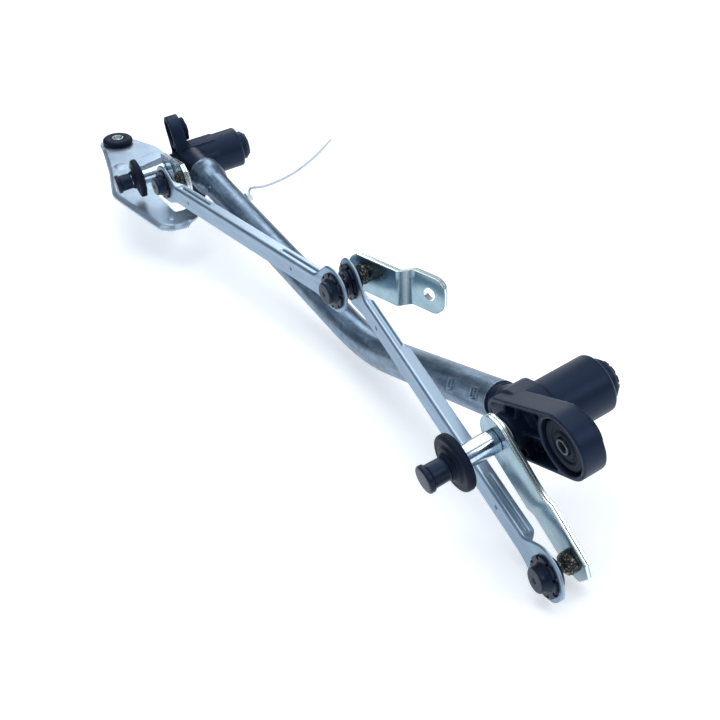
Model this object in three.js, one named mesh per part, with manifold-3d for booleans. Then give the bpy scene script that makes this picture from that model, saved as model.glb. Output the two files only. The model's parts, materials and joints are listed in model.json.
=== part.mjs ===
// Windshield wiper linkage: tube frame, two spindle housings, levers, rods and motor crank.
// Millimetres. X runs from the left spindle to the right one, Y away from the wiper arms
// along the right spindle, Z up. The row's origin is the centre of the right cap's end face;
// the dimensions below count Y from the right lever, and add() shifts them.

import * as THREE from 'three';
import { mergeVertices } from 'three/addons/utils/BufferGeometryUtils.js';
import Module from 'manifold-3d';

const wasm = await Module();
wasm.setup();

// ---- driving dimensions ----
const ROUND = 20; // facets on large round parts
const SMALL_ROUND = 14;
const GAP = 0.3;
const CAP_END_Y = -48.8;
const SPINDLE_SPACING = 558.7;
const LEFT_LEAN_DEG = -6.5; // left spindle leans outward
const LEFT_RISE_DEG = -3.4; // and its arm end rises

const TUBE_Y = 24;
const TUBE_R = 12.5;
const TUBE_WALL = 2;
const TUBE_RIGHT_MOUTH = [-24.8, TUBE_Y, 1.6];
const TUBE_RIGHT_SLOPE = 0.3;
const TUBE_LEFT_MOUTH = [-511.8, TUBE_Y, 0.5];
const TUBE_LEFT_SLOPE = -0.188;
const TUBE_BEND_R = 160;
const FLARE_R = 15.5;
const FLARE_LENGTH = 14;
const FLARE_TAPER = 14;
const SPIGOT_LENGTH = 38;
// Pressed marks: reach from the mouth, and degrees from the arm side up round the tube.
const RIGHT_CRIMPS = [[13.5, 36], [43, 36]];
const LEFT_DIMPLES = [[11, 31, FLARE_R], [36, 33, TUBE_R]];

const SHAFT_R = 6.6;
const SHOULDER_R = 7.4; // between the seal disc and the lever
const SHAFT_END_Y = 85.5;
const BARREL_R = 18.85;
const BARREL_END_Y = 76;
const END_BOSS_R = 13.5;
const END_BOSS_Y = 81;
const HUB_BOSS_R = 12.5;
const HUB_BOSS_Y = 8.2;
const BORE_R = 9.3;

const LEVER_LENGTH = 80;
const LEVER_NEAR_Y = 1.2;
const LEVER_THICK = 4.5;
const LEVER_JOGGLE = 1.6;
const LEVER_HUB_R = 15.5;
const LEVER_TIP_R = 13;
const RIGHT_LEVER_DEG = -43.8;
const LEFT_LEVER_DEG = 13.2;

const BALL_R = 6.5;
const BALL_NECK_R = 3.6;
const SHANK_R = 4.3;
const LEVER_BALL_Y = -14;
const BALL_PLAY = 0.4;
const OPEN_PIVOT_PLAY = 2;

// The crank hangs loose on its pin. Its frame: origin where the pin leaves the near face,
// X along the arm, Y along the pin away from the wiper arms.
const CRANK_AT = [-191.4, 24.4, 22];
const CRANK_ROLL_DEG = -8.1;
const CRANK_PITCH_DEG = 9.2;
const CRANK_YAW_DEG = 18.2;
const CRANK_BEND_AT = 30.7;
const CRANK_BEND_RUN = 8.6;
const CRANK_JOGGLE = 9.2;
const CRANK_THICK = 4.5;
const CRANK_WIDTH = 27.8;
const CRANK_HOLE_AT = 52.8;
const CRANK_END = 66.2;
const CRANK_HOLE_R = 4.9;
const PIN_INNER_BALL_Y = -12.8;
const PIN_OUTER_BALL_Y = -28.8;

const ROD_ROLL_DEG = 8;
const ROD_THICK = 2;
const ROD_EYE_R = 15.8;
// The beam is an L: a flat web from low to top, and one flange turned away along its top.
const ROD_LOW_Z = -11.2;
const ROD_TOP_Z = 4.2;
const ROD_FLANGE_Y = 7.4;
const ROD_SHALLOW_Y = 5; // flange depth at the start of rod B
const SOCKET_R = 9.8;

// ---- closed-solid helpers ----
function asSolid(geometry) {
  const plain = geometry.clone();
  plain.deleteAttribute('normal');
  plain.deleteAttribute('uv');
  const merged = mergeVertices(plain, 1e-4);
  const position = merged.attributes.position.array;
  const triangles = [];
  let volume = 0;
  const corner = [new THREE.Vector3(), new THREE.Vector3(), new THREE.Vector3()];
  for (let i = 0; i < merged.index.count; i += 3) {
    const ids = [0, 1, 2].map((k) => merged.index.getX(i + k));
    if (ids[0] === ids[1] || ids[1] === ids[2] || ids[2] === ids[0]) continue;
    triangles.push(ids);
    ids.forEach((id, k) => corner[k].fromArray(position, 3 * id));
    volume += corner[0].dot(corner[1].cross(corner[2]));
  }
  if (volume < 0) triangles.forEach((ids) => ids.reverse());
  const mesh = new wasm.Mesh({
    numProp: 3,
    vertProperties: new Float32Array(position),
    triVerts: new Uint32Array(triangles.flat()),
  });
  return new wasm.Manifold(mesh);
}

function asGeometry(solid) {
  const mesh = solid.getMesh();
  const geometry = new THREE.BufferGeometry();
  const position = new Float32Array(mesh.vertProperties);
  geometry.setAttribute('position', new THREE.BufferAttribute(position, 3));
  geometry.setIndex(new THREE.BufferAttribute(new Uint32Array(mesh.triVerts), 1));
  return geometry;
}

function join(...parts) {
  return asGeometry(parts.map(asSolid).reduce((a, b) => a.add(b)));
}

function cut(base, ...tools) {
  return asGeometry(tools.map(asSolid).reduce((a, b) => a.subtract(b), asSolid(base)));
}

function common(a, b) {
  return asGeometry(asSolid(a).intersect(asSolid(b)));
}

// ---- shape helpers ----
// A solid of revolution about Y from [radius, y] pairs.
function turned(profile, segments = ROUND) {
  return new THREE.LatheGeometry(profile.map(([r, y]) => new THREE.Vector2(r, y)), segments);
}

function disc(r, y0, y1, segments = ROUND) {
  return turned([[0, y0], [r, y0], [r, y1], [0, y1]], segments);
}

function ring(outer, inner, y0, y1, segments = ROUND) {
  return turned([[inner, y0], [outer, y0], [outer, y1], [inner, y1], [inner, y0]], segments);
}

// A flat plate in the XZ plane between two Y levels.
function plate(shape, y0, y1, curveSegments = 6) {
  const options = { depth: y1 - y0, bevelEnabled: false, curveSegments };
  return new THREE.ExtrudeGeometry(shape, options).rotateX(Math.PI / 2).translate(0, y1, 0);
}

function block(x0, x1, y0, y1, z0, z1) {
  const box = new THREE.BoxGeometry(x1 - x0, y1 - y0, z1 - z0);
  return box.translate((x0 + x1) / 2, (y0 + y1) / 2, (z0 + z1) / 2);
}

// The outline that wraps two circles { x, z, r }.
function link(a, b) {
  const distance = Math.hypot(b.x - a.x, b.z - a.z);
  const heading = Math.atan2(b.z - a.z, b.x - a.x);
  const lean = Math.acos((a.r - b.r) / distance);
  const shape = new THREE.Shape();
  shape.absarc(b.x, b.z, b.r, heading - lean, heading + lean, false);
  shape.absarc(a.x, a.z, a.r, heading + lean, heading - lean + 2 * Math.PI, false);
  shape.closePath();
  return shape;
}

// A polygon from [x, z] pairs with every corner rounded.
function roundedPolygon(points, radius) {
  const shape = new THREE.Shape();
  points.forEach((point, i) => {
    const here = new THREE.Vector2(...point);
    const before = new THREE.Vector2(...points[(i + points.length - 1) % points.length]);
    const after = new THREE.Vector2(...points[(i + 1) % points.length]);
    const room = Math.min(radius, here.distanceTo(before) / 2.1, here.distanceTo(after) / 2.1);
    const entry = here.clone().add(before.sub(here).setLength(room));
    const exit = here.clone().add(after.sub(here).setLength(room));
    if (i === 0) shape.moveTo(entry.x, entry.y);
    else shape.lineTo(entry.x, entry.y);
    shape.quadraticCurveTo(here.x, here.y, exit.x, exit.y);
  });
  shape.closePath();
  return shape;
}

function polygon(points) {
  return new THREE.Shape(points.map(([x, y]) => new THREE.Vector2(x, y)));
}

// Lays geometry modelled along +Y out along a direction from a point.
function along(geometry, origin, direction) {
  const up = new THREE.Vector3(0, 1, 0);
  const turn = new THREE.Quaternion().setFromUnitVectors(up, direction.clone().normalize());
  return geometry.applyQuaternion(turn).translate(...origin);
}

const vec = (x, y, z) => new THREE.Vector3(x, y, z);
const radians = THREE.MathUtils.degToRad;

// ---- assembly ----
const wiper = new THREE.Group();
wiper.name = 'windshield_wiper_linkage';

function add(name, geometry, look) {
  const [color, roughness, metalness] = look;
  const flat = geometry.index ? geometry.toNonIndexed() : geometry;
  flat.translate(0, -CAP_END_Y, 0);
  flat.computeVertexNormals();
  const material = new THREE.MeshStandardMaterial({ color, roughness, metalness });
  material.name = name;
  const mesh = new THREE.Mesh(flat, material);
  mesh.name = name;
  wiper.add(mesh);
}

const GALVANISED = [0x8f9fb0, 0.42, 0.9];
const ZINC = [0xa9bfc4, 0.35, 0.9];
const ROD_STEEL = [0x93a6b8, 0.38, 0.9];
const BRIGHT_STEEL = [0xc4d4de, 0.18, 1.0];
const MOULDED = [0x232733, 0.5, 0.0];
const RUBBER = [0x1a1b22, 0.75, 0.0];
const NYLON_BLACK = [0x18181f, 0.4, 0.0];
const BRONZE = [0x8a7452, 0.45, 0.8];
const GREASY_STEEL = [0x7d7a68, 0.5, 0.7];
const NYLON_WHITE = [0xdfe8f0, 0.45, 0.0];

// Left spindle frame: local -Y is the arm end.
const leftFrame = new THREE.Matrix4()
  .makeTranslation(-SPINDLE_SPACING, 0, 0)
  .multiply(new THREE.Matrix4().makeRotationZ(radians(LEFT_LEAN_DEG)))
  .multiply(new THREE.Matrix4().makeRotationX(radians(LEFT_RISE_DEG)));
const rightFrame = new THREE.Matrix4();

// ---- cross tube ----
const rightMouth = vec(...TUBE_RIGHT_MOUTH);
const leftMouth = vec(...TUBE_LEFT_MOUTH);
const intoRight = vec(-1, 0, -TUBE_RIGHT_SLOPE).normalize();
const intoLeft = vec(1, 0, TUBE_LEFT_SLOPE).normalize();
const tieAt = leftMouth.clone().addScaledVector(intoLeft, 63);

// Straight leg, arc, straight leg.
class BentPath extends THREE.Curve {
  constructor(startTrim, endTrim) {
    super();
    const run = rightMouth.x - leftMouth.x;
    const rise = rightMouth.z - leftMouth.z;
    const legX = (rise - TUBE_RIGHT_SLOPE * run) / (TUBE_LEFT_SLOPE - TUBE_RIGHT_SLOPE);
    this.corner = vec(leftMouth.x + legX, TUBE_Y, leftMouth.z + TUBE_LEFT_SLOPE * legX);
    this.start = leftMouth.clone().addScaledVector(intoLeft, startTrim);
    this.end = rightMouth.clone().addScaledVector(intoRight, endTrim);
    this.turn = intoLeft.angleTo(intoRight.clone().negate());
    this.trim = TUBE_BEND_R * Math.tan(this.turn / 2);
    this.leg1 = this.corner.distanceTo(this.start) - this.trim;
    this.leg2 = this.corner.distanceTo(this.end) - this.trim;
    this.arc = TUBE_BEND_R * this.turn;
  }

  getPoint(t, target = vec(0, 0, 0)) {
    const s = t * (this.leg1 + this.arc + this.leg2);
    if (s <= this.leg1) return target.copy(this.start).addScaledVector(intoLeft, s);
    if (s >= this.leg1 + this.arc) {
      const left = this.leg1 + this.arc + this.leg2 - s;
      return target.copy(this.end).addScaledVector(intoRight, left);
    }
    const angle = (s - this.leg1) / TUBE_BEND_R;
    const side = vec(-intoLeft.z, 0, intoLeft.x);
    const from = this.start.clone().addScaledVector(intoLeft, this.leg1);
    target.copy(from).addScaledVector(intoLeft, TUBE_BEND_R * Math.sin(angle));
    return target.addScaledVector(side, TUBE_BEND_R * (1 - Math.cos(angle)));
  }
}

function sweptRound(radius, path, segments) {
  const circle = new THREE.Shape().absarc(0, 0, radius, 0, 2 * Math.PI, false);
  const options = { steps: 14, extrudePath: path, bevelEnabled: false };
  return new THREE.ExtrudeGeometry(circle, { ...options, curveSegments: segments });
}

// Frame on the tube's centre line: local Y points out through the wall at the given angle.
function tubeWallFrame(mouth, into, reach, upDeg) {
  const rise = vec(-into.z, 0, into.x).multiplyScalar(Math.sign(into.x));
  const outward = vec(0, -Math.cos(radians(upDeg)), 0);
  outward.addScaledVector(rise, Math.sin(radians(upDeg)));
  const third = new THREE.Vector3().crossVectors(into, outward);
  const centre = mouth.clone().addScaledVector(into, reach);
  return new THREE.Matrix4().makeBasis(into, outward, third).setPosition(centre);
}

function crossTube() {
  const inner = TUBE_R - TUBE_WALL;
  const flareInner = FLARE_R - TUBE_WALL;
  const taperEnd = FLARE_LENGTH + FLARE_TAPER;
  const flare = turned([
    [0, 0], [FLARE_R, 0], [FLARE_R, FLARE_LENGTH], [TUBE_R, taperEnd], [TUBE_R, taperEnd + 3],
    [0, taperEnd + 3],
  ]);
  const flareBore = turned([
    [0, -1], [flareInner, -1], [flareInner, FLARE_LENGTH], [inner, taperEnd],
    [inner, taperEnd + 3], [0, taperEnd + 3],
  ]);
  const outside = join(
    sweptRound(TUBE_R, new BentPath(taperEnd - 4, 0), 12),
    along(flare, TUBE_LEFT_MOUTH, intoLeft),
  );
  const notch = block(-5, 5, -1, 12, -FLARE_R - 2, -FLARE_R + 6).rotateY(radians(-35));
  const crimps = RIGHT_CRIMPS.map(([reach, upDeg]) => {
    const pocket = block(-3, 3, TUBE_R - 0.9, TUBE_R + 1, -3, 3);
    return pocket.applyMatrix4(tubeWallFrame(rightMouth, intoRight, reach, upDeg));
  });
  const dimples = LEFT_DIMPLES.map(([reach, upDeg, r]) => {
    const pocket = disc(1.8, r - 0.8, r + 1, SMALL_ROUND);
    return pocket.applyMatrix4(tubeWallFrame(leftMouth, intoLeft, reach, upDeg));
  });
  return cut(
    outside,
    sweptRound(inner, new BentPath(taperEnd - 4, -2), 10),
    along(flareBore, TUBE_LEFT_MOUTH, intoLeft),
    along(notch, TUBE_LEFT_MOUTH, intoLeft),
    disc(2.4, 5, 20, SMALL_ROUND).translate(...tieAt.toArray()),
    ...crimps,
    ...dimples,
  );
}
add('cross_tube', crossTube(), GALVANISED);

// ---- bearing housings ----
// Hollow flange with a ringed eye cup; ribs run from the hub to the rim.
function flange(hub, eye, extra, nearY, backY, ribAngles) {
  const wall = 3;
  const floorY = backY - wall;
  const shrink = (circle) => ({ ...circle, r: circle.r - wall });
  const outer = join(
    plate(link(hub, eye), nearY, backY),
    ...extra.map((lobe) => plate(link(hub, lobe), nearY, backY)),
  );
  const hollow = join(
    plate(link(shrink(hub), shrink(eye)), nearY - 1, floorY),
    ...extra.map((lobe) => plate(link(shrink(hub), shrink(lobe)), nearY - 1, floorY)),
  );
  const ribs = ribAngles.map((angle) => {
    return block(0, 60, nearY + 2, floorY + 0.5, -1.1, 1.1).rotateY(radians(-angle));
  });
  const eyeBlock = disc(eye.r, nearY, floorY + 0.5).translate(eye.x, 0, eye.z);
  const eyeCup = disc(eye.r - wall, nearY - 1, floorY).translate(eye.x, 0, eye.z);
  const ribbed = join(cut(outer, hollow), ...ribs.map((rib) => common(rib, outer)), eyeBlock);
  return cut(ribbed, eyeCup);
}

function barrel() {
  return turned([
    [0, HUB_BOSS_Y], [HUB_BOSS_R, HUB_BOSS_Y], [HUB_BOSS_R, 22], [BARREL_R, 24],
    [BARREL_R, BARREL_END_Y - 1.5], [BARREL_R - 1.5, BARREL_END_Y], [END_BOSS_R, BARREL_END_Y],
    [END_BOSS_R, END_BOSS_Y], [0, END_BOSS_Y],
  ]);
}

const bore = () => disc(BORE_R, -5, 100);

const rightEye = { x: 51, z: 19, r: 20.5, nearY: 12, backY: 27, hole: 9.3, sleeveY: 13 };
const leftEye = { x: -4, z: 32, r: 15.5, nearY: 14, backY: 26, hole: 7.8, sleeveY: 21 };
const SLEEVE_R = 5;
const SLEEVE_BORE_R = 3.6;
const bracketLug = { x: -31, z: -15, r: 12 };

function rightHousing() {
  const hub = { x: 0, z: 1, r: 19.5 };
  const shoulder = { x: -8, z: 4, r: 14 };
  const body = flange(hub, rightEye, [shoulder], 12, 27, [200, 262, 318, 20, 70]);
  const spigot = turned([
    [0, -24], [12.4, -24], [12.4, -9], [11.2, -8], [11.2, -GAP], [10.2, -GAP],
    [10.2, SPIGOT_LENGTH - 2], [8.2, SPIGOT_LENGTH], [0, SPIGOT_LENGTH],
  ]);
  const web = plate(link({ x: -18, z: 4, r: 3 }, { x: 0, z: 12, r: 6 }), 20, 48);
  const collar = plate(link({ x: 0, z: 1, r: 20.2 }, { x: -8, z: 5, r: 14.5 }), 20, 37);
  const eyeHole = disc(rightEye.hole, 0, 60).translate(rightEye.x, 0, rightEye.z);
  const plug = along(spigot, TUBE_RIGHT_MOUTH, intoRight);
  const solid = join(body, barrel(), plug, web, collar);
  return cut(solid, bore(), eyeHole);
}
add('right_housing', rightHousing(), MOULDED);

const rivetSpots = [{ x: -34, z: -9 }, { x: -26, z: -20 }];

function leftHousing() {
  const hub = { x: 0, z: 0, r: 18.85 };
  const body = flange(hub, leftEye, [bracketLug], 14, 26, [0, 50, 115, 290]);
  const lugPad = disc(bracketLug.r - 0.5, 14, 24).translate(bracketLug.x, 0, bracketLug.z);
  const gusset = polygon([[20, 20], [20, 42], [30, 42], [48, 10], [48, 5], [22, 5]]);
  const rib = new THREE.ExtrudeGeometry(gusset, { depth: 5, bevelEnabled: false });
  rib.rotateY(Math.PI / 2).rotateX(Math.PI / 2);
  const ribSolid = rib.applyMatrix4(new THREE.Matrix4().makeScale(1, 1, -1));
  ribSolid.translate(-5, 0, 0);
  const local = join(body, lugPad, barrel(), ribSolid).applyMatrix4(leftFrame);
  const plug = turned([
    [0, -30], [12.6, -30], [12.6, -GAP], [13.2, -GAP], [13.2, 13.5], [10.2, 27.5],
    [10.2, SPIGOT_LENGTH + 6], [0, SPIGOT_LENGTH + 6],
  ]);
  const tools = [bore(), disc(leftEye.hole, 0, 60).translate(leftEye.x, 0, leftEye.z)];
  rivetSpots.forEach(({ x, z }) => tools.push(disc(2.8, 5, 60, SMALL_ROUND).translate(x, 0, z)));
  const placed = tools.map((tool) => tool.applyMatrix4(leftFrame));
  return cut(join(local, along(plug, TUBE_LEFT_MOUTH, intoLeft)), ...placed);
}
add('left_housing', leftHousing(), MOULDED);

// Rubber bush in an eye cup, with a steel sleeve through it.
function eyeParts(side, eye, frame) {
  const cup = eye.r - 3 - GAP;
  const neck = eye.hole - GAP;
  const floorY = eye.backY - 3;
  const bush = turned([
    [SLEEVE_R + GAP, eye.nearY + 2.5], [cup - 3, eye.nearY + 2], [cup, eye.nearY + 4],
    [cup, floorY - GAP], [neck, floorY - GAP], [neck, eye.backY + GAP],
    [neck + 3.5, eye.backY + GAP], [neck + 3.5, eye.backY + 4.5],
    [SLEEVE_R + GAP, eye.backY + 4.8], [SLEEVE_R + GAP, eye.nearY + 2.5],
  ]);
  const tube = ring(SLEEVE_R, SLEEVE_BORE_R, eye.sleeveY, eye.backY + 6, SMALL_ROUND);
  bush.translate(eye.x, 0, eye.z).applyMatrix4(frame);
  tube.translate(eye.x, 0, eye.z).applyMatrix4(frame);
  add(`${side}_eye_grommet`, bush, RUBBER);
  add(`${side}_eye_sleeve`, tube, ZINC);
}
eyeParts('right', rightEye, rightFrame);
eyeParts('left', leftEye, leftFrame);

// ---- left bracket ----
// Plate frame: origin at the grommet, X towards the left spindle, Z across the plate,
// local +Y down through the sheet.
const PLATE_THICK = 2.5;
const GROMMET_AT = [-703.1, -5.5, -11.3];
const PLATE_UP = [0.109, 0.199, 0.976];

function plateFrame() {
  const up = vec(...PLATE_UP).normalize();
  const x = vec(1, 0, 0).addScaledVector(up, -up.x).normalize();
  const z = new THREE.Vector3().crossVectors(up, x);
  const down = up.clone().negate();
  return new THREE.Matrix4().makeBasis(x, down, z).setPosition(...GROMMET_AT);
}

function bracketPlate() {
  const outline = [
    [-17, -6], [-9, -18], [12, -20], [57, -29], [106, -42], [118, -41], [168, -31],
    [196, -25], [204, -16], [204, -3], [199, 11], [188, 19], [134, 21], [98, 21], [84, 30],
    [58, 36], [28, 34], [2, 21], [-14, 12],
  ];
  const sheet = plate(roundedPolygon(outline, 9), 0, PLATE_THICK, 5);
  const rim = plate(roundedPolygon(outline, 9), 0, 7, 5);
  const inset = outline.map(([x, z]) => [84 + (x - 84) * 0.975, (z - 2) * 0.92 + 2]);
  const rimBore = plate(roundedPolygon(inset, 8), -1, 8, 5);
  const frontEdge = block(4, 215, -1, 9, -60, 6);
  const window = roundedPolygon([[128, -5], [178, -3], [177, 9], [168, 12], [128, 12]], 4);
  const skirt = common(cut(rim, rimBore), frontEdge);
  const hump = link({ x: 66, z: 2, r: 9 }, { x: 58, z: 21, r: 10 });
  const underHump = link({ x: 66, z: 2, r: 6.5 }, { x: 58, z: 21, r: 7.5 });
  const holes = [
    plate(window, -5, 10, 5),
    plate(underHump, -2.5, 5),
    disc(11.3, -5, 10),
    disc(2.5, -5, 10, SMALL_ROUND).translate(189, 0, -11),
  ];
  const dimple = disc(6, -1.2, 1, SMALL_ROUND).translate(57, 0, -16);
  const flat = join(sheet, skirt, plate(hump, -5, 1), dimple);
  const placed = cut(flat, ...holes).applyMatrix4(plateFrame());
  const tabShape = roundedPolygon([[-42, -30], [-42, -4], [-18, -4], [-18, -30]], 5);
  const tab = plate(tabShape, 11.2, 13.7, 5);
  const rivetHoles = rivetSpots.map(({ x, z }) => disc(2.8, 5, 20, SMALL_ROUND).translate(x, 0, z));
  const tabPlaced = cut(tab, ...rivetHoles).applyMatrix4(leftFrame);
  return join(placed, tabPlaced);
}
add('bracket_plate', bracketPlate(), ZINC);

const bracketGrommet = turned([
  [6.6, -6.5], [13.5, -6.5], [15.6, -4.8], [15.6, -1.8], [14, -GAP], [11, -GAP],
  [11, PLATE_THICK + GAP], [14, PLATE_THICK + GAP], [14.5, PLATE_THICK + 4],
  [6.6, PLATE_THICK + 4], [6.6, -6.5],
]);
add('bracket_grommet', bracketGrommet.applyMatrix4(plateFrame()), RUBBER);
const bracketSleeve = ring(6.3, 4.3, -7, PLATE_THICK + 5).applyMatrix4(plateFrame());
add('bracket_sleeve', bracketSleeve, ZINC);

rivetSpots.forEach((spot, i) => {
  const rivet = turned([
    [0, 8.6], [2.4, 8.9], [4.2, 10.9], [2.5, 10.9], [2.5, 26.3], [4.6, 26.3], [3.6, 28.3],
    [0, 28.8],
  ], SMALL_ROUND);
  rivet.translate(spot.x, 0, spot.z).applyMatrix4(leftFrame);
  add(`bracket_rivet_${i + 1}`, rivet, ZINC);
});

// ---- spindles and what sits on them ----
function leverPlate() {
  const bendAt = 42;
  const bendRun = 7;
  const y0 = LEVER_NEAR_Y;
  const y1 = y0 + LEVER_JOGGLE;
  const side = polygon([
    [-20, y0], [bendAt, y0], [bendAt + bendRun, y1], [100, y1], [100, y1 + LEVER_THICK],
    [bendAt + bendRun - 1, y1 + LEVER_THICK], [bendAt - 1, y0 + LEVER_THICK],
    [-20, y0 + LEVER_THICK],
  ]);
  const band = new THREE.ExtrudeGeometry(side, { depth: 50, bevelEnabled: false });
  band.translate(0, 0, -25);
  const body = link({ x: 0, z: 0, r: LEVER_HUB_R }, { x: 74, z: 0, r: LEVER_TIP_R });
  const square = polygon([
    [40, -13.6], [86, -12.7], [93, -7], [93, 7], [86, 12.7], [40, 13.6],
  ]);
  const outline = join(plate(body, -5, 15), plate(square, -5, 15));
  const holes = [disc(SHAFT_R + GAP, -5, 15), disc(SHANK_R + GAP, -5, 20, SMALL_ROUND)];
  holes[1].translate(LEVER_LENGTH, 0, 0);
  return cut(common(band, outline), ...holes);
}

// Half-circle profile points of a ball, from its arm-side pole or its neck to its far neck.
function ballArc(centreY, startAngle, steps) {
  const endAngle = Math.PI - Math.asin(BALL_NECK_R / BALL_R);
  return Array.from({ length: steps + 1 }, (_, i) => {
    const angle = startAngle + ((endAngle - startAngle) * i) / steps;
    return [BALL_R * Math.sin(angle), centreY - BALL_R * Math.cos(angle)];
  });
}

function leverStud() {
  const seat = LEVER_NEAR_Y + LEVER_JOGGLE - GAP;
  const back = LEVER_NEAR_Y + LEVER_JOGGLE + LEVER_THICK + GAP;
  const profile = [
    ...ballArc(LEVER_BALL_Y, 0, 5),
    [BALL_NECK_R, seat - 7], [6, seat - 5], [7.2, seat - 4.6], [7.2, seat],
    [SHANK_R, seat], [SHANK_R, back], [6.6, back], [5.6, back + 1.8], [0, back + 1.8],
  ];
  return turned(profile, SMALL_ROUND).translate(LEVER_LENGTH, 0, 0);
}

function spindleGroup(side, frame, leverDeg) {
  const turn = new THREE.Matrix4().makeRotationY(radians(-leverDeg));
  const leverFrame = frame.clone().multiply(turn);
  const put = (name, geometry, look) => add(`${side}_${name}`, geometry.applyMatrix4(frame), look);
  const shaft = turned([
    [0, -46.3], [3.4, -46.3], [3.9, -45.5], [3.9, -39], [5.2, -38.5], [SHAFT_R, -32],
    [SHAFT_R, -22.1], [SHOULDER_R, -22.1], [SHOULDER_R, LEVER_NEAR_Y - GAP],
    [SHAFT_R, LEVER_NEAR_Y - GAP], [SHAFT_R, SHAFT_END_Y - 1], [SHAFT_R - 1, SHAFT_END_Y],
    [0, SHAFT_END_Y],
  ]);
  const seal = turned([
    [SHAFT_R + GAP, -33.5], [8.4, -33.5], [8.8, -31.4], [12.6, -30.6], [13, -29.8],
    [17.4, -29.2], [18.25, -28.2], [18.25, -25], [17.6, -24], [14.6, -23.6], [13.6, -22.8],
    [9, -22.4], [SHAFT_R + GAP, -22.4], [SHAFT_R + GAP, -33.5],
  ]);
  const cap = turned([
    [0, CAP_END_Y], [8, CAP_END_Y], [8.8, -48], [8.8, -45], [7.6, -44.2], [7.4, -34.6], [8, -33.8],
    [SHAFT_R + GAP, -33.8], [5.7, -38.9], [4.3, -39.4], [4.3, -46.8], [0, -46.8],
  ]);
  put('spindle', shaft, BRIGHT_STEEL);
  put('seal_disc', seal, RUBBER);
  put('cap', cap, NYLON_BLACK);
  const front = LEVER_NEAR_Y + LEVER_THICK + GAP;
  put('front_washer', ring(11, SHAFT_R + GAP, front, HUB_BOSS_Y - GAP), NYLON_WHITE);
  const bushes = [['front', HUB_BOSS_Y + 0.5, 30], ['rear', 60, END_BOSS_Y - 0.5]];
  bushes.forEach(([end, y0, y1]) => {
    put(`${end}_bush`, ring(BORE_R - GAP, SHAFT_R + GAP, y0, y1), BRONZE);
  });
  put('rear_washer', ring(11.8, SHAFT_R + GAP, END_BOSS_Y + GAP, END_BOSS_Y + 1.3), ZINC);
  const clipY = END_BOSS_Y + 1.6;
  const notches = Array.from({ length: 10 }, (_, i) => {
    return block(9.2, 13, clipY - 1, clipY + 3, -0.9, 0.9).rotateY((i * Math.PI) / 5);
  });
  const clip = cut(ring(10.4, SHAFT_R + GAP, clipY, clipY + 1.5), ...notches);
  put('retaining_ring', clip, BRIGHT_STEEL);
  add(`${side}_lever`, leverPlate().applyMatrix4(leverFrame), ZINC);
  add(`${side}_ball_stud`, leverStud().applyMatrix4(leverFrame), GREASY_STEEL);
  return vec(LEVER_LENGTH, LEVER_BALL_Y, 0).applyMatrix4(leverFrame);
}
const rightBall = spindleGroup('right', rightFrame, RIGHT_LEVER_DEG);
const leftBall = spindleGroup('left', leftFrame, LEFT_LEVER_DEG);

// ---- connecting rods and their ball sockets ----
// Rod frame: X from the start ball to the end ball, Y through the sheet away from the arms.
function rodFrame(start, end) {
  const x = end.clone().sub(start).normalize();
  const lean = vec(0, Math.cos(radians(ROD_ROLL_DEG)), -Math.sin(radians(ROD_ROLL_DEG)));
  const y = lean.addScaledVector(x, -lean.dot(x)).normalize();
  const z = new THREE.Vector3().crossVectors(x, y);
  return new THREE.Matrix4().makeBasis(x, y, z).setPosition(start);
}

function rodStrip(length, smallHoles, shallowTo) {
  const near = -ROD_THICK / 2;
  const far = ROD_THICK / 2;
  const inset = 26;
  const options = { depth: length - 2 * inset, bevelEnabled: false };
  // The quarter turn below maps the outline's first axis to minus Z.
  const section = polygon([
    [-ROD_LOW_Z, near], [1 - ROD_TOP_Z, near], [-ROD_TOP_Z, near + 1],
    [-ROD_TOP_Z, ROD_FLANGE_Y], [ROD_THICK - ROD_TOP_Z, ROD_FLANGE_Y],
    [ROD_THICK - ROD_TOP_Z, far], [-ROD_LOW_Z, far],
  ]);
  const beam = new THREE.ExtrudeGeometry(section, options).rotateY(Math.PI / 2);
  const eyes = [0, length].map((x) => {
    const neckX = x === 0 ? inset + 6 : length - inset - 6;
    const neck = { x: neckX, z: (ROD_LOW_Z + ROD_TOP_Z) / 2, r: (ROD_TOP_Z - ROD_LOW_Z) / 2 };
    return plate(link({ x, z: 0, r: ROD_EYE_R }, neck), near, far);
  });
  const holes = [0, length].map((x) => disc(SOCKET_R + GAP, -9, 9).translate(x, 0, 0));
  smallHoles.forEach(([x, z]) => holes.push(disc(1.6, -9, 9, SMALL_ROUND / 2).translate(x, 0, z)));
  if (shallowTo > 0) holes.push(block(0, shallowTo, ROD_SHALLOW_Y, 12, 0, 9));
  return cut(join(beam.translate(inset, 0, 0), ...eyes), ...holes);
}

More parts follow.
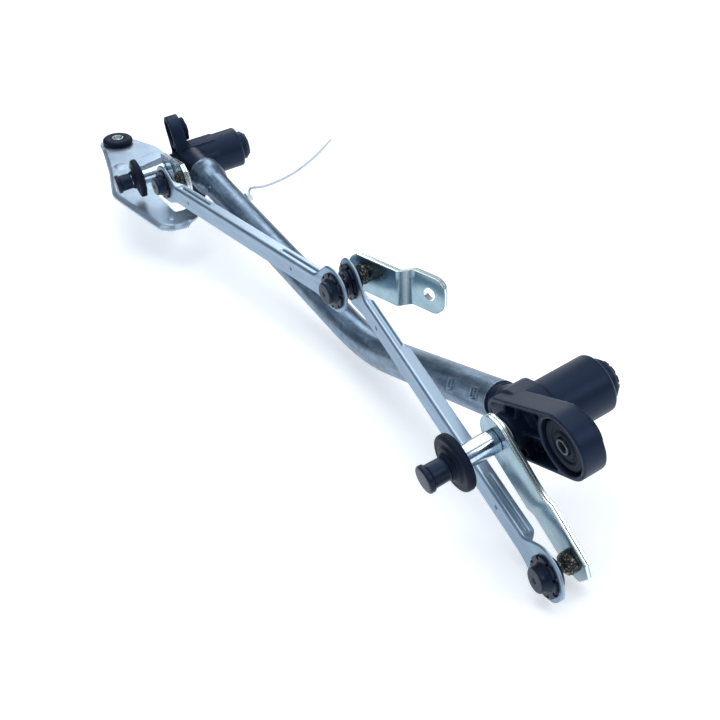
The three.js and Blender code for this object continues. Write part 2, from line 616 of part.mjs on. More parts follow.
// Snap-in nylon cup, flared towards the far side. A through socket is open on both sides;
// a blind one is domed on the arm side.
function socket(play, through) {
  const cavity = BALL_R + play;
  const lipY = 3.5;
  const lip = Math.sqrt(cavity ** 2 - lipY ** 2);
  const skirtY = 5.2;
  const flare = Math.min(lip + skirtY - lipY, 9);
  const near = -ROD_THICK / 2 - GAP;
  const far = ROD_THICK / 2 + GAP;
  const rim = [[13, near - 1.8], [13, near], [SOCKET_R, near], [SOCKET_R, far],
    [10.9, far], [10.9, far + 1.4], [9.8, skirtY], [flare, skirtY]];
  const top = Math.atan2(lipY, lip);
  const bottom = through ? -top : -Math.PI / 2;
  const inside = Array.from({ length: 6 }, (_, i) => {
    const angle = top + ((bottom - top) * i) / 5;
    return [i === 5 && !through ? 0 : cavity * Math.cos(angle), cavity * Math.sin(angle)];
  });
  if (through) {
    const mouth = [[flare, -skirtY], [9.4, -skirtY], [9.9, near - 1.8]];
    return turned([...mouth, ...rim, ...inside, [flare, -skirtY]], SMALL_ROUND);
  }
  const domeY = -cavity - 1.6;
  const dome = [[0, domeY], [7.4, domeY], [8, domeY + 0.8], [8, domeY + 3], [9.6, near - 1.8]];
  return turned([...dome, ...rim, ...inside], SMALL_ROUND);
}

const crankFrame = new THREE.Matrix4()
  .makeTranslation(...CRANK_AT)
  .multiply(new THREE.Matrix4().makeRotationZ(radians(CRANK_YAW_DEG)))
  .multiply(new THREE.Matrix4().makeRotationY(radians(CRANK_PITCH_DEG)))
  .multiply(new THREE.Matrix4().makeRotationX(radians(CRANK_ROLL_DEG)));
const pinOuter = vec(0, PIN_OUTER_BALL_Y, 0).applyMatrix4(crankFrame);
const pinInner = vec(0, PIN_INNER_BALL_Y, 0).applyMatrix4(crankFrame);

function rodGroup(name, start, end, smallHoles, shallowTo, startPlay, startThrough) {
  const frame = rodFrame(start, end);
  const length = start.distanceTo(end);
  add(name, rodStrip(length, smallHoles, shallowTo).applyMatrix4(frame), ROD_STEEL);
  const first = socket(startPlay, startThrough).applyMatrix4(frame);
  const second = socket(BALL_PLAY, false).translate(length, 0, 0).applyMatrix4(frame);
  add(`${name}_left_socket`, first, NYLON_BLACK);
  add(`${name}_right_socket`, second, NYLON_BLACK);
}
rodGroup('rod_a', leftBall, pinOuter, [[51, -4.3], [238, -4.4]], 0, OPEN_PIVOT_PLAY, false);
rodGroup('rod_b', pinInner, rightBall, [[43.5, -5.5], [204.5, -4.2]], 76, BALL_PLAY, true);

// ---- motor crank ----
function crankArm() {
  const y1 = CRANK_JOGGLE;
  const bendEnd = CRANK_BEND_AT + CRANK_BEND_RUN;
  const side = polygon([
    [-30, 0], [CRANK_BEND_AT, 0], [bendEnd, y1], [100, y1], [100, y1 + CRANK_THICK],
    [bendEnd - 2, y1 + CRANK_THICK], [CRANK_BEND_AT - 2, CRANK_THICK], [-30, CRANK_THICK],
  ]);
  const band = new THREE.ExtrudeGeometry(side, { depth: 40, bevelEnabled: false });
  band.translate(0, 0, -20);
  const h = CRANK_WIDTH / 2;
  const outline = roundedPolygon([
    [-13, -h + 6], [-7, -h], [CRANK_END - 7, -h], [CRANK_END, -h + 7], [CRANK_END, h - 6],
    [CRANK_END - 6, h], [-7, h], [-13, h - 6],
  ], 3.5);
  const holes = [
    disc(SHANK_R + GAP, -5, 20, SMALL_ROUND),
    disc(CRANK_HOLE_R, -5, 20).translate(CRANK_HOLE_AT, 0, 0),
  ];
  return cut(common(band, plate(outline, -5, 20)), ...holes).applyMatrix4(crankFrame);
}
add('crank_arm', crankArm(), ZINC);

function crankPin() {
  const back = CRANK_THICK + GAP;
  const profile = [
    ...ballArc(PIN_OUTER_BALL_Y, 0, 5),
    ...ballArc(PIN_INNER_BALL_Y, Math.asin(BALL_NECK_R / BALL_R), 4),
    [BALL_NECK_R, -5.6], [6.2, -3.6], [6.2, -GAP], [SHANK_R, -GAP], [SHANK_R, back],
    [7, back], [6, back + 2], [0, back + 2],
  ];
  return turned(profile, SMALL_ROUND).applyMatrix4(crankFrame);
}
add('crank_ball_pin', crankPin(), GREASY_STEEL);

// ---- cable tie ----
// Push-in tie: its barbed stem sits in a hole in the far side of the tube.
function cableTie() {
  const stem = turned([
    [0, 6.4], [1.6, 6.4], [3.1, 9.2], [2, 9.6], [2, TUBE_R + GAP], [4.6, TUBE_R + GAP],
    [4.6, 14.6], [0, 14.6],
  ], SMALL_ROUND);
  const head = block(-3.2, 3.2, 14.2, 17.8, -2.6, 2.6);
  const clip = join(stem, head).translate(...tieAt.toArray());
  const tailPath = new THREE.CatmullRomCurve3([
    vec(tieAt.x + 1, tieAt.y + 16, tieAt.z + 1), vec(-441, 40.5, 0), vec(-396, 41, 17.5),
    vec(-354, 50, 37), vec(-310, 57, 63), vec(-272.6, 60, 88),
  ]);
  const section = polygon([[-1.4, -0.5], [1.4, -0.5], [1.4, 0.5], [-1.4, 0.5]]);
  const options = { steps: 18, extrudePath: tailPath, bevelEnabled: false };
  return join(clip, new THREE.ExtrudeGeometry(section, options));
}
add('cable_tie', cableTie(), NYLON_WHITE);

export default wiper;
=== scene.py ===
"""Looks for the windshield wiper linkage.

Every visible piece is rebuilt as a smooth, finely modelled mesh over its CAD node, in the
node's own frame and to the same dimensions, and gets a procedural material.
Dimensions are millimetres in each piece's own frame; placing a piece scales it to metres.
"""

import json
import math

import bmesh
import bpy
from mathutils import Euler, Matrix, Vector


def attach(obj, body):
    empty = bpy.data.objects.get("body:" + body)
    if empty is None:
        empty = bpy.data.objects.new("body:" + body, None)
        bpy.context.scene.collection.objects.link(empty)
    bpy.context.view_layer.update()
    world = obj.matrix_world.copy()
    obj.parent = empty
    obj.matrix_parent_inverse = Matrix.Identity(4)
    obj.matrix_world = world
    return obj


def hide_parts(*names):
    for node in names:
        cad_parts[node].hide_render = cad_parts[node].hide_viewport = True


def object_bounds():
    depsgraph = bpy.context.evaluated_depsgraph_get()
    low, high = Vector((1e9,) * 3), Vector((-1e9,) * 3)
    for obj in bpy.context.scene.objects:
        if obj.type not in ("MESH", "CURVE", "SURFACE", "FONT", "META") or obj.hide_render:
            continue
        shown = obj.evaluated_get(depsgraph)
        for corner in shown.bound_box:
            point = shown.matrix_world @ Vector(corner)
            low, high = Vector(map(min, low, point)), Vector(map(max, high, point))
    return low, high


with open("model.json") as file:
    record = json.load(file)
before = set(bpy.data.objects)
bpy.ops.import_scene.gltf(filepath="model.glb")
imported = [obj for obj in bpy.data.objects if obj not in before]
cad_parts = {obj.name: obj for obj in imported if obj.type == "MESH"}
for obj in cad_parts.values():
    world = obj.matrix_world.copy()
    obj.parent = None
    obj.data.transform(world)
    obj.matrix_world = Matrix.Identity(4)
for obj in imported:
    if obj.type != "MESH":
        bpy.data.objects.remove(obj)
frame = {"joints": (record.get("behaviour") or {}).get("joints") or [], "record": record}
cad_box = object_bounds()

MM = 0.001
GAP = 0.3
UP = Vector((0, 0, 1))

JOINTS = {joint["name"]: joint for joint in frame["joints"]}
MOUNTS = {mount["name"]: mount for mount in frame["record"]["mounts"]}
BODY_OF = {
    node: body
    for body, nodes in frame["record"]["behaviour"]["bodies"].items()
    for node in nodes
}
SLOT_OF = {part["node"]: part["material_slot"] for part in frame["record"]["subparts"]}


# ---- frames the pieces are modelled in ----
def axes_frame(x, y, z, origin):
    turn = Matrix((x, y, z)).transposed().to_4x4()
    return Matrix.Translation(origin) @ turn


def spindle_frame(joint_name):
    joint = JOINTS[joint_name]
    y = -Vector(joint["axis"]).normalized()
    x = y.cross(UP).normalized()
    return axes_frame(x, y, x.cross(y), Vector(joint["pos_m"]))


def at(frame_matrix, x, y, z):
    """A point given in millimetres in a frame, as a row-frame point in metres."""
    return frame_matrix @ Vector((x * MM, y * MM, z * MM))


LEVER_LENGTH = 80
LEVER_BALL_Y = -14
LEVER_DEG = {"right": -43.8, "left": 13.2}
PIN_INNER_BALL_Y = -12.8
PIN_OUTER_BALL_Y = -28.8
CRANK_TURN_DEG = (-8.1, 9.2, 18.2)
ROD_ROLL_DEG = 8

SPINDLE = {
    "right": spindle_frame("right_spindle_turn"),
    "left": spindle_frame("left_spindle_turn"),
}
LEVER = {
    side: SPINDLE[side] @ Matrix.Rotation(math.radians(-LEVER_DEG[side]), 4, "Y")
    for side in SPINDLE
}
LEFT_BALL = at(LEVER["left"], LEVER_LENGTH, LEVER_BALL_Y, 0)
RIGHT_BALL = Vector(JOINTS["rod_b_swing"]["pos_m"])
INNER_BALL = Vector(JOINTS["crank_turn"]["pos_m"])
OUTER_BALL = Vector(JOINTS["rod_a_swing"]["pos_m"])

crank_turn = Euler([math.radians(a) for a in CRANK_TURN_DEG], "XYZ").to_matrix().to_4x4()
crank_origin = INNER_BALL - crank_turn @ Vector((0, PIN_INNER_BALL_Y * MM, 0))
CRANK = Matrix.Translation(crank_origin) @ crank_turn


def rod_frame(start, end):
    x = (end - start).normalized()
    roll = math.radians(ROD_ROLL_DEG)
    lean = Vector((0, math.cos(roll), -math.sin(roll)))
    y = (lean - x * lean.dot(x)).normalized()
    return axes_frame(x, y, x.cross(y), start)


ROD = {"rod_a": rod_frame(LEFT_BALL, OUTER_BALL), "rod_b": rod_frame(INNER_BALL, RIGHT_BALL)}
ROD_LENGTH = {
    "rod_a": (OUTER_BALL - LEFT_BALL).length / MM,
    "rod_b": (RIGHT_BALL - INNER_BALL).length / MM,
}

BRACKET_GROMMET = Vector((-0.7031, 0.0433, -0.0113))
bracket_up = Vector(MOUNTS["bracket_eye"]["axis"]).normalized()
bracket_x = (Vector((1, 0, 0)) - bracket_up * bracket_up.x).normalized()
BRACKET = axes_frame(bracket_x, -bracket_up, bracket_up.cross(bracket_x), BRACKET_GROMMET)

TUBE_Y = 72.8
TUBE_LEFT_MOUTH = Vector((-511.8, TUBE_Y, 0.5))
TUBE_RIGHT_MOUTH = Vector((-24.8, TUBE_Y, 1.6))
TUBE_LEFT_SLOPE = -0.188
TUBE_RIGHT_SLOPE = 0.3
TUBE_BEND_R = 160
TUBE_R = 12.5
TUBE_WALL = 2
FLARE_R = 15.5
FLARE_LENGTH = 12
FLARE_TAPER = 16
into_left = Vector((1, 0, TUBE_LEFT_SLOPE)).normalized()
into_right = Vector((-1, 0, -TUBE_RIGHT_SLOPE)).normalized()
TIE_AT = TUBE_LEFT_MOUTH + into_left * 63


def along(origin_mm, direction):
    """A frame whose Y runs along a direction from a point given in millimetres."""
    turn = Vector((0, 1, 0)).rotation_difference(direction).to_matrix().to_4x4()
    return Matrix.Translation(origin_mm * MM) @ turn


# ---- mesh helpers, in millimetres ----
def smooth_step(t):
    t = min(1.0, max(0.0, t))
    return t * t * (3 - 2 * t)


def new_object(bm):
    bmesh.ops.recalc_face_normals(bm, faces=bm.faces)
    mesh = bpy.data.meshes.new("work")
    bm.to_mesh(mesh)
    bm.free()
    obj = bpy.data.objects.new("work", mesh)
    bpy.context.scene.collection.objects.link(obj)
    return obj


def bake(obj):
    bpy.context.view_layer.update()
    graph = bpy.context.evaluated_depsgraph_get()
    mesh = bpy.data.meshes.new_from_object(obj.evaluated_get(graph))
    obj.modifiers.clear()
    obj.data = mesh
    return obj


def combine(operation, base, tools):
    for tool in tools:
        step = base.modifiers.new("combine", "BOOLEAN")
        step.operation = operation
        step.solver = "MANIFOLD"
        step.object = tool
    bake(base)
    for tool in tools:
        bpy.data.objects.remove(tool)
    return base


def join(base, *tools):
    return combine("UNION", base, tools)


def cut(base, *tools):
    return combine("DIFFERENCE", base, tools)


def common(base, tool):
    return combine("INTERSECT", base, [tool])


def moved(obj, x=0.0, y=0.0, z=0.0):
    obj.data.transform(Matrix.Translation((x, y, z)))
    return obj


def spun(obj, degrees):
    """Turned about Y, from X towards Z."""
    obj.data.transform(Matrix.Rotation(math.radians(-degrees), 4, "Y"))
    return obj


def mapped(obj, matrix):
    """Carried by a frame in metres, with the mesh staying in millimetres."""
    scale = Matrix.Scale(MM, 4)
    obj.data.transform(scale.inverted() @ matrix @ scale)
    return obj


def softened(points, radius, closed, steps=4):
    """The same outline with its corners rounded."""
    points = [Vector(p) for p in points]
    if radius <= 0:
        return points
    count = len(points)
    out = []
    for i, here in enumerate(points):
        if not closed and i in (0, count - 1):
            out.append(here)
            continue
        before = points[i - 1] - here
        after = points[(i + 1) % count] - here
        room = min(radius, before.length / 2.1, after.length / 2.1)
        if before.length < 1e-6 or after.length < 1e-6 or before.angle(after) > 2.9:
            out.append(here)
            continue
        entry = here + before.normalized() * room
        leave = here + after.normalized() * room
        for k in range(steps + 1):
            t = k / steps
            out.append(entry * (1 - t) ** 2 + here * 2 * t * (1 - t) + leave * t * t)
    return out


def turned(profile, rounding=0.5, segments=64):
    """A solid of revolution about Y from (radius, y) pairs, with soft corners."""
    closed = tuple(profile[0]) == tuple(profile[-1])
    points = softened(profile[:-1] if closed else profile, rounding, closed)
    bm = bmesh.new()
    rings = []
    for r, y in points:
        if r < 1e-6:
            rings.append([bm.verts.new((0, y, 0))])
            continue
        angles = [2 * math.pi * k / segments for k in range(segments)]
        rings.append([bm.verts.new((r * math.cos(a), y, r * math.sin(a))) for a in angles])
    pairs = list(zip(rings, rings[1:])) + ([(rings[-1], rings[0])] if closed else [])
    for a, b in pairs:
        for i in range(segments):
            j = i + 1
            ring = [a[i % len(a)], a[j % len(a)], b[j % len(b)], b[i % len(b)]]
            corners = list(dict.fromkeys(ring))
            if len(corners) > 2:
                bm.faces.new(corners)
    return new_object(bm)


def disc(r, y0, y1, rounding=0.4, segments=64):
    return turned([(0, y0), (r, y0), (r, y1), (0, y1)], rounding, segments)


def washer(outer, inner, y0, y1, rounding=0.3):
    profile = [(inner, y0), (outer, y0), (outer, y1), (inner, y1), (inner, y0)]
    return turned(profile, rounding)


def area(outline):
    pairs = zip(outline, outline[1:] + outline[:1])
    return sum(a[0] * b[1] - b[0] * a[1] for a, b in pairs) / 2


def plate(outline, y0, y1, bevel=0.45, groove=0.0):
    """An outline of (x, z) pairs as a plate between two Y levels, with rounded rims.

    A groove along the middle of the rim is the line a punch leaves round a thick plate."""
    points = [Vector(p) for p in outline]
    if area(points) < 0:
        points.reverse()
    count = len(points)
    outward = []
    for i in range(count):
        tangent = points[(i + 1) % count] - points[i - 1]
        outward.append(Vector((tangent.y, -tangent.x)).normalized())
    bevel = min(bevel, (y1 - y0) / 2.2)
    levels = []
    for k in range(4):
        angle = math.pi / 2 * k / 3
        levels.append((y0 + bevel * (1 - math.sin(angle)), bevel * (1 - math.cos(angle))))
    levels.reverse()
    middle_y = (y0 + y1) / 2
    line = [(middle_y - 0.35, 0), (middle_y, groove), (middle_y + 0.35, 0)] if groove else []
    levels += line + [(y0 + y1 - y, inset) for y, inset in reversed(levels)]
    if bevel <= 0:
        levels = [(y0, 0), (y1, 0)]
    bm = bmesh.new()
    rings = []
    for y, inset in levels:
        ring = [p - n * inset for p, n in zip(points, outward)]
        rings.append([bm.verts.new((p.x, y, p.y)) for p in ring])
    for a, b in zip(rings, rings[1:]):
        for i in range(count):
            j = (i + 1) % count
            bm.faces.new([a[i], a[j], b[j], b[i]])
    bm.faces.new(rings[0])
    bm.faces.new(rings[-1])
    return new_object(bm)


def arc(x, z, r, start, end, steps=24):
    angles = [math.radians(start + (end - start) * k / steps) for k in range(steps + 1)]
    return [(x + r * math.cos(a), z + r * math.sin(a)) for a in angles]


def link(a, b):
    """The outline that wraps two circles (x, z, r)."""
    heading = math.degrees(math.atan2(b[1] - a[1], b[0] - a[0]))
    lean = math.degrees(math.acos((a[2] - b[2]) / math.dist(a[:2], b[:2])))
    tip = arc(*b, heading - lean, heading + lean)
    return tip + arc(*a, heading + lean, heading - lean + 360)


def block(x0, x1, y0, y1, z0, z1, bevel=0.3):
    return plate([(x0, z0), (x1, z0), (x1, z1), (x0, z1)], y0, y1, bevel)


def bent(obj, start, run, shift, cuts=8):
    """A plate whose part beyond start is offset by shift along Y, through two soft bends."""
    bm = bmesh.new()
    bm.from_mesh(obj.data)
    for k in range(-1, cuts + 2):
        geometry = bm.verts[:] + bm.edges[:] + bm.faces[:]
        x = start + run * k / cuts
        bmesh.ops.bisect_plane(bm, geom=geometry, plane_co=(x, 0, 0), plane_no=(1, 0, 0))
    for vert in bm.verts:
        vert.co.y += shift * smooth_step((vert.co.x - start) / run)
    bm.to_mesh(obj.data)
    bm.free()
    return obj


def strip(rows, closed_rows=False, closed_columns=False):
    """A surface through rows of points."""
    bm = bmesh.new()
    grid = [[bm.verts.new(p) for p in row] for row in rows]
    last_row = len(grid) if closed_rows else len(grid) - 1
    width = len(grid[0])
    last_column = width if closed_columns else width - 1
    for i in range(last_row):
        a, b = grid[i], grid[(i + 1) % len(grid)]
        for j in range(last_column):
            k = (j + 1) % width
            bm.faces.new([a[j], a[k], b[k], b[j]])
    return bm


def slab(rows, thickness):
    """A closed sheet: a surface through rows of points and its copy further along +Y."""
    bm = bmesh.new()
    top = [[bm.verts.new(p) for p in row] for row in rows]
    low = [[bm.verts.new(p + Vector((0, thickness, 0))) for p in row] for row in rows]
    for i in range(len(rows) - 1):
        for j in range(len(rows[0]) - 1):
            for level in (top, low):
                bm.faces.new([level[i][j], level[i][j + 1], level[i + 1][j + 1], level[i + 1][j]])
    rims = []
    for level in (top, low):
        side = [row[-1] for row in level]
        other = [row[0] for row in level]
        rims.append(level[0] + side[1:] + level[-1][::-1][1:] + other[::-1][1:-1])
    for k in range(len(rims[0])):
        n = (k + 1) % len(rims[0])
        bm.faces.new([rims[0][k], rims[0][n], rims[1][n], rims[1][k]])
    return new_object(bm)


def moulded(obj, voxel=0.7):
    """Rounds every inside and outside corner, as on a moulding."""
    remesh = obj.modifiers.new("remesh", "REMESH")
    remesh.mode = "VOXEL"
    remesh.voxel_size = voxel
    soften = obj.modifiers.new("soften", "SMOOTH")
    soften.factor = 0.5
    soften.iterations = 3
    thin = obj.modifiers.new("thin", "DECIMATE")
    thin.decimate_type = "COLLAPSE"
    thin.ratio = 0.35
    return bake(obj)


# ---- materials ----
def ramp(nodes, low, high, dark, light):
    made = nodes.new("ShaderNodeValToRGB")
    made.color_ramp.elements[0].position = low
    made.color_ramp.elements[1].position = high
    made.color_ramp.elements[0].color = (*dark, 1)
    made.color_ramp.elements[1].color = (*light, 1)
    return made


def surface(name, dark, light, metallic, roughness, **detail):
    """A procedural finish: a large-scale tone, a fine stretched grain, painted highlights along the
    edges, painted highlights on side faces and bump.
    """
    get = detail.get
    material = bpy.data.materials.new(name)
    material.use_nodes = True
    nodes = material.node_tree.nodes
    wire = material.node_tree.links.new
    shader = nodes["Principled BSDF"]
    shader.inputs["Metallic"].default_value = metallic
    place = nodes.new("ShaderNodeTexCoord")
    where = place.outputs["UV" if get("uv") else "Object"]

    stretch = nodes.new("ShaderNodeMapping")
    stretch.inputs["Scale"].default_value = get("stretch", (1, 1, 1))
    wire(where, stretch.inputs["Vector"])
    tone = nodes.new("ShaderNodeTexNoise")
    tone.inputs["Scale"].default_value = get("tone_scale", 60)
    tone.inputs["Detail"].default_value = 5
    tone.inputs["Roughness"].default_value = 0.6
    wire(stretch.outputs["Vector"], tone.inputs["Vector"])
    grain = nodes.new("ShaderNodeTexNoise")
    grain.inputs["Scale"].default_value = get("grain_scale", 900)
    grain.inputs["Detail"].default_value = 3
    wire(stretch.outputs["Vector"], grain.inputs["Vector"])

    colour = ramp(nodes, 0.3, 0.7, dark, light)
    wire(tone.outputs["Fac"], colour.inputs["Fac"])
    top = colour.outputs["Color"]
    if get("spangle"):
        cells = nodes.new("ShaderNodeTexVoronoi")
        cells.inputs["Scale"].default_value = get("spangle")
        wire(where, cells.inputs["Vector"])
        grey = nodes.new("ShaderNodeRGBToBW")
        wire(cells.outputs["Color"], grey.inputs["Color"])
        mix = nodes.new("ShaderNodeMixRGB")
        mix.blend_type = "OVERLAY"
        mix.inputs["Fac"].default_value = 0.22
        wire(top, mix.inputs["Color1"])
        wire(grey.outputs["Val"], mix.inputs["Color2"])
        top = mix.outputs["Color"]
    if get("speckle"):
        fleck = ramp(nodes, 0.56, 0.66, (0, 0, 0), (1, 1, 1))
        wire(grain.outputs["Fac"], fleck.inputs["Fac"])
        mix = nodes.new("ShaderNodeMixRGB")
        mix.inputs["Color2"].default_value = (*get("speckle"), 1)
        wire(fleck.outputs["Color"], mix.inputs["Fac"])
        wire(top, mix.inputs["Color1"])
        top = mix.outputs["Color"]

    soft_edge = nodes.new("ShaderNodeBevel")
    soft_edge.samples = 4
    soft_edge.inputs["Radius"].default_value = get("edge_radius", 0.5) * MM
    # Painted highlight: where the bevelled normal parts from the true normal, the edge colour is laid
    # on, standing in for light caught along the edges.
    if get("edge"):
        normal = nodes.new("ShaderNodeNewGeometry")
        match = nodes.new("ShaderNodeVectorMath")
        match.operation = "DOT_PRODUCT"
        wire(soft_edge.outputs["Normal"], match.inputs[0])
        wire(normal.outputs["Normal"], match.inputs[1])
        edge_highlight_mask = ramp(nodes, 0.86, 0.985, (1, 1, 1), (0, 0, 0))
        wire(match.outputs["Value"], edge_highlight_mask.inputs["Fac"])
        mix = nodes.new("ShaderNodeMixRGB")
        mix.inputs["Color2"].default_value = (*get("edge"), 1)
        wire(edge_highlight_mask.outputs["Color"], mix.inputs["Fac"])
        wire(top, mix.inputs["Color1"])
        top = mix.outputs["Color"]
    # Painted highlight: faces turned side-on to the piece's Y axis (plate rims and the rods' up-facing
    # flanges) get the lighter rim colour, standing in for light falling on them.
    if get("rim"):
        normal = nodes.new("ShaderNodeNewGeometry")
        local = nodes.new("ShaderNodeVectorTransform")
        local.vector_type = "NORMAL"
        local.convert_from = "WORLD"
        local.convert_to = "OBJECT"
        split = nodes.new("ShaderNodeSeparateXYZ")
        level = nodes.new("ShaderNodeMath")
        level.operation = "ABSOLUTE"
        wire(normal.outputs["True Normal"], local.inputs["Vector"])
        wire(local.outputs["Vector"], split.inputs["Vector"])
        wire(split.outputs["Y"], level.inputs[0])
        side_highlight_mask = ramp(nodes, 0.35, 0.6, (1, 1, 1), (0, 0, 0))
        wire(level.outputs["Value"], side_highlight_mask.inputs["Fac"])
        mix = nodes.new("ShaderNodeMixRGB")
        mix.inputs["Color2"].default_value = (*get("rim"), 1)
        wire(side_highlight_mask.outputs["Color"], mix.inputs["Fac"])
        wire(top, mix.inputs["Color1"])
        top = mix.outputs["Color"]
    wire(top, shader.inputs["Base Color"])
    shader.inputs["Specular IOR Level"].default_value = get("sheen", 0.5)
    if metallic == 0:
        shader.inputs["Specular Tint"].default_value = (0.42, 0.6, 1.0, 1)

    spread = nodes.new("ShaderNodeMapRange")
    spread.inputs["To Min"].default_value = roughness - get("rough_spread", 0.08)
    spread.inputs["To Max"].default_value = roughness + get("rough_spread", 0.08)
    wire(tone.outputs["Fac"], spread.inputs["Value"])
    wire(spread.outputs["Result"], shader.inputs["Roughness"])

    bump = nodes.new("ShaderNodeBump")
    bump.inputs["Strength"].default_value = get("bump", 0.15)
    bump.inputs["Distance"].default_value = get("bump_depth", 0.15) * MM
    wire(grain.outputs["Fac"], bump.inputs["Height"])
    wire(soft_edge.outputs["Normal"], bump.inputs["Normal"])
    wire(bump.outputs["Normal"], shader.inputs["Normal"])
    return material


# The edge colours below are painted edge highlights, and the rim colours are painted highlights on
# side faces and on the rods' up-facing flanges.
FINISH = {
    "galvanised_steel": surface(
        "galvanised_steel", (0.1, 0.15, 0.21), (0.25, 0.34, 0.44), 0.9, 0.37,
        uv=True, stretch=(0.12, 1, 1), tone_scale=260, grain_scale=1500, spangle=240,
        bump=0.25, edge=(0.55, 0.66, 0.76),
    ),
    "bracket_steel": surface(
        "bracket_steel", (0.33, 0.42, 0.52), (0.46, 0.56, 0.66), 0.85, 0.4,
        tone_scale=70, grain_scale=1300, bump=0.15, edge=(0.6, 0.7, 0.78),
    ),
    "rod_steel": surface(
        "rod_steel", (0.2, 0.29, 0.39), (0.31, 0.42, 0.53), 0.88, 0.38,
        stretch=(0.15, 1, 1), tone_scale=220, grain_scale=1600, bump=0.25,
        edge=(0.5, 0.62, 0.74), rim=(0.4, 0.5, 0.6),
    ),
    "zinc_plate": surface(
        "zinc_plate", (0.25, 0.37, 0.43), (0.38, 0.51, 0.57), 0.94, 0.25,
        tone_scale=90, grain_scale=1300, bump=0.1, edge=(0.75, 0.82, 0.74),
        rim=(0.82, 0.88, 0.82),
    ),
    "dull_zinc": surface(
        "dull_zinc", (0.05, 0.075, 0.09), (0.12, 0.16, 0.18), 0.8, 0.45,
        tone_scale=200, grain_scale=1300, bump=0.2,
    ),
    "bright_steel": surface(
        "bright_steel", (0.42, 0.55, 0.68), (0.64, 0.76, 0.87), 1.0, 0.15,
        stretch=(1, 6, 1), tone_scale=120, grain_scale=900, rough_spread=0.04, bump=0.05,
    ),
    "dark_spring_steel": surface(
        "dark_spring_steel", (0.02, 0.028, 0.045), (0.05, 0.065, 0.09), 0.6, 0.45,
        tone_scale=200, grain_scale=1300, bump=0.2, edge=(0.12, 0.16, 0.22),
    ),
    "greased_steel": surface(
        "greased_steel", (0.01, 0.011, 0.012), (0.07, 0.07, 0.06), 0.55, 0.36,
        tone_scale=380, grain_scale=750, bump=1.0, bump_depth=0.9,
        speckle=(0.62, 0.6, 0.47), rough_spread=0.15,
    ),
    "bearing_bronze": surface(
        "bearing_bronze", (0.2, 0.14, 0.06), (0.34, 0.25, 0.12), 0.85, 0.45,
        tone_scale=300, grain_scale=2000, bump=0.3,
    ),
    "moulded_black": surface(
        "moulded_black", (0.006, 0.0115, 0.026), (0.01, 0.017, 0.036), 0.0, 0.42,
        tone_scale=40, grain_scale=2600, bump=0.22, edge=(0.018, 0.028, 0.052), sheen=0.3,
    ),
    "rubber_black": surface(
        "rubber_black", (0.003, 0.005, 0.011), (0.006, 0.009, 0.019), 0.0, 0.55,
        tone_scale=70, grain_scale=1800, bump=0.3, sheen=0.25,
    ),
    "nylon_black": surface(
        "nylon_black", (0.004, 0.007, 0.016), (0.009, 0.013, 0.026), 0.0, 0.34,
        tone_scale=80, grain_scale=2200, bump=0.12, edge=(0.018, 0.026, 0.046), sheen=0.34,
    ),
    "nylon_pale": surface(
        "nylon_pale", (0.84, 0.9, 0.98), (0.93, 0.97, 1.0), 0.0, 0.4,
        tone_scale=120, grain_scale=1500, bump=0.1,
    ),
}
FINISH_OF = {
    "bracket_plate": "bracket_steel",
    "right_eye_sleeve": "dull_zinc",
    "left_eye_sleeve": "dull_zinc",
    "right_retaining_ring": "dark_spring_steel",
    "left_retaining_ring": "dark_spring_steel",
    "right_rear_washer": "dark_spring_steel",
    "left_rear_washer": "dark_spring_steel",
}


def place(obj, node, frame_matrix, sharp_deg=32):
    """Hands a finished mesh over to the body of the CAD node that it stands for."""
    obj.data.transform(Matrix.Scale(MM, 4))
    obj.data.polygons.foreach_set("use_smooth", [True] * len(obj.data.polygons))
    obj.data.set_sharp_from_angle(angle=math.radians(sharp_deg))
    obj.name = f"{node}_finished"
    obj.data.name = obj.name
    obj.data.materials.clear()
    obj.data.materials.append(FINISH[FINISH_OF.get(node, SLOT_OF[node])])
    obj.matrix_world = frame_matrix
    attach(obj, BODY_OF[node])
    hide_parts(node)


# ---- cross tube ----
CRIMPS = ((43.0, 36.0), (13.5, 36.0))  # reach from the right mouth, angle up from the arm side
DIMPLES = ((11.0, 31.0), (36.0, 33.0))  # the same from the left mouth


class TubePath:
    """Straight leg, arc, straight leg, in the plane Y = TUBE_Y."""

    def __init__(self):
        run = TUBE_RIGHT_MOUTH.x - TUBE_LEFT_MOUTH.x
        rise = TUBE_RIGHT_MOUTH.z - TUBE_LEFT_MOUTH.z
        leg = (rise - TUBE_RIGHT_SLOPE * run) / (TUBE_LEFT_SLOPE - TUBE_RIGHT_SLOPE)
        corner = TUBE_LEFT_MOUTH + Vector((leg, 0, TUBE_LEFT_SLOPE * leg))
        turn = into_left.angle(-into_right)
        trim = TUBE_BEND_R * math.tan(turn / 2)
        self.leg = (corner - TUBE_LEFT_MOUTH).length - trim
        self.arc = TUBE_BEND_R * turn
        self.length = self.leg + self.arc + (corner - TUBE_RIGHT_MOUTH).length - trim

    def station(self, s):
        """Centre and direction at a reach s from the left mouth."""
        if s <= self.leg:
            return TUBE_LEFT_MOUTH + into_left * s, into_left
        if s >= self.leg + self.arc:
            return TUBE_RIGHT_MOUTH + into_right * (self.length - s), -into_right
        angle = (s - self.leg) / TUBE_BEND_R
        side = Vector((-into_left.z, 0, into_left.x))
        start = TUBE_LEFT_MOUTH + into_left * self.leg
        centre = start + into_left * (TUBE_BEND_R * math.sin(angle))
        centre += side * (TUBE_BEND_R * (1 - math.cos(angle)))
        return centre, into_left * math.cos(angle) + side * math.sin(angle)


def window(value, half, soft):
    return smooth_step((half + soft - abs(value)) / soft)


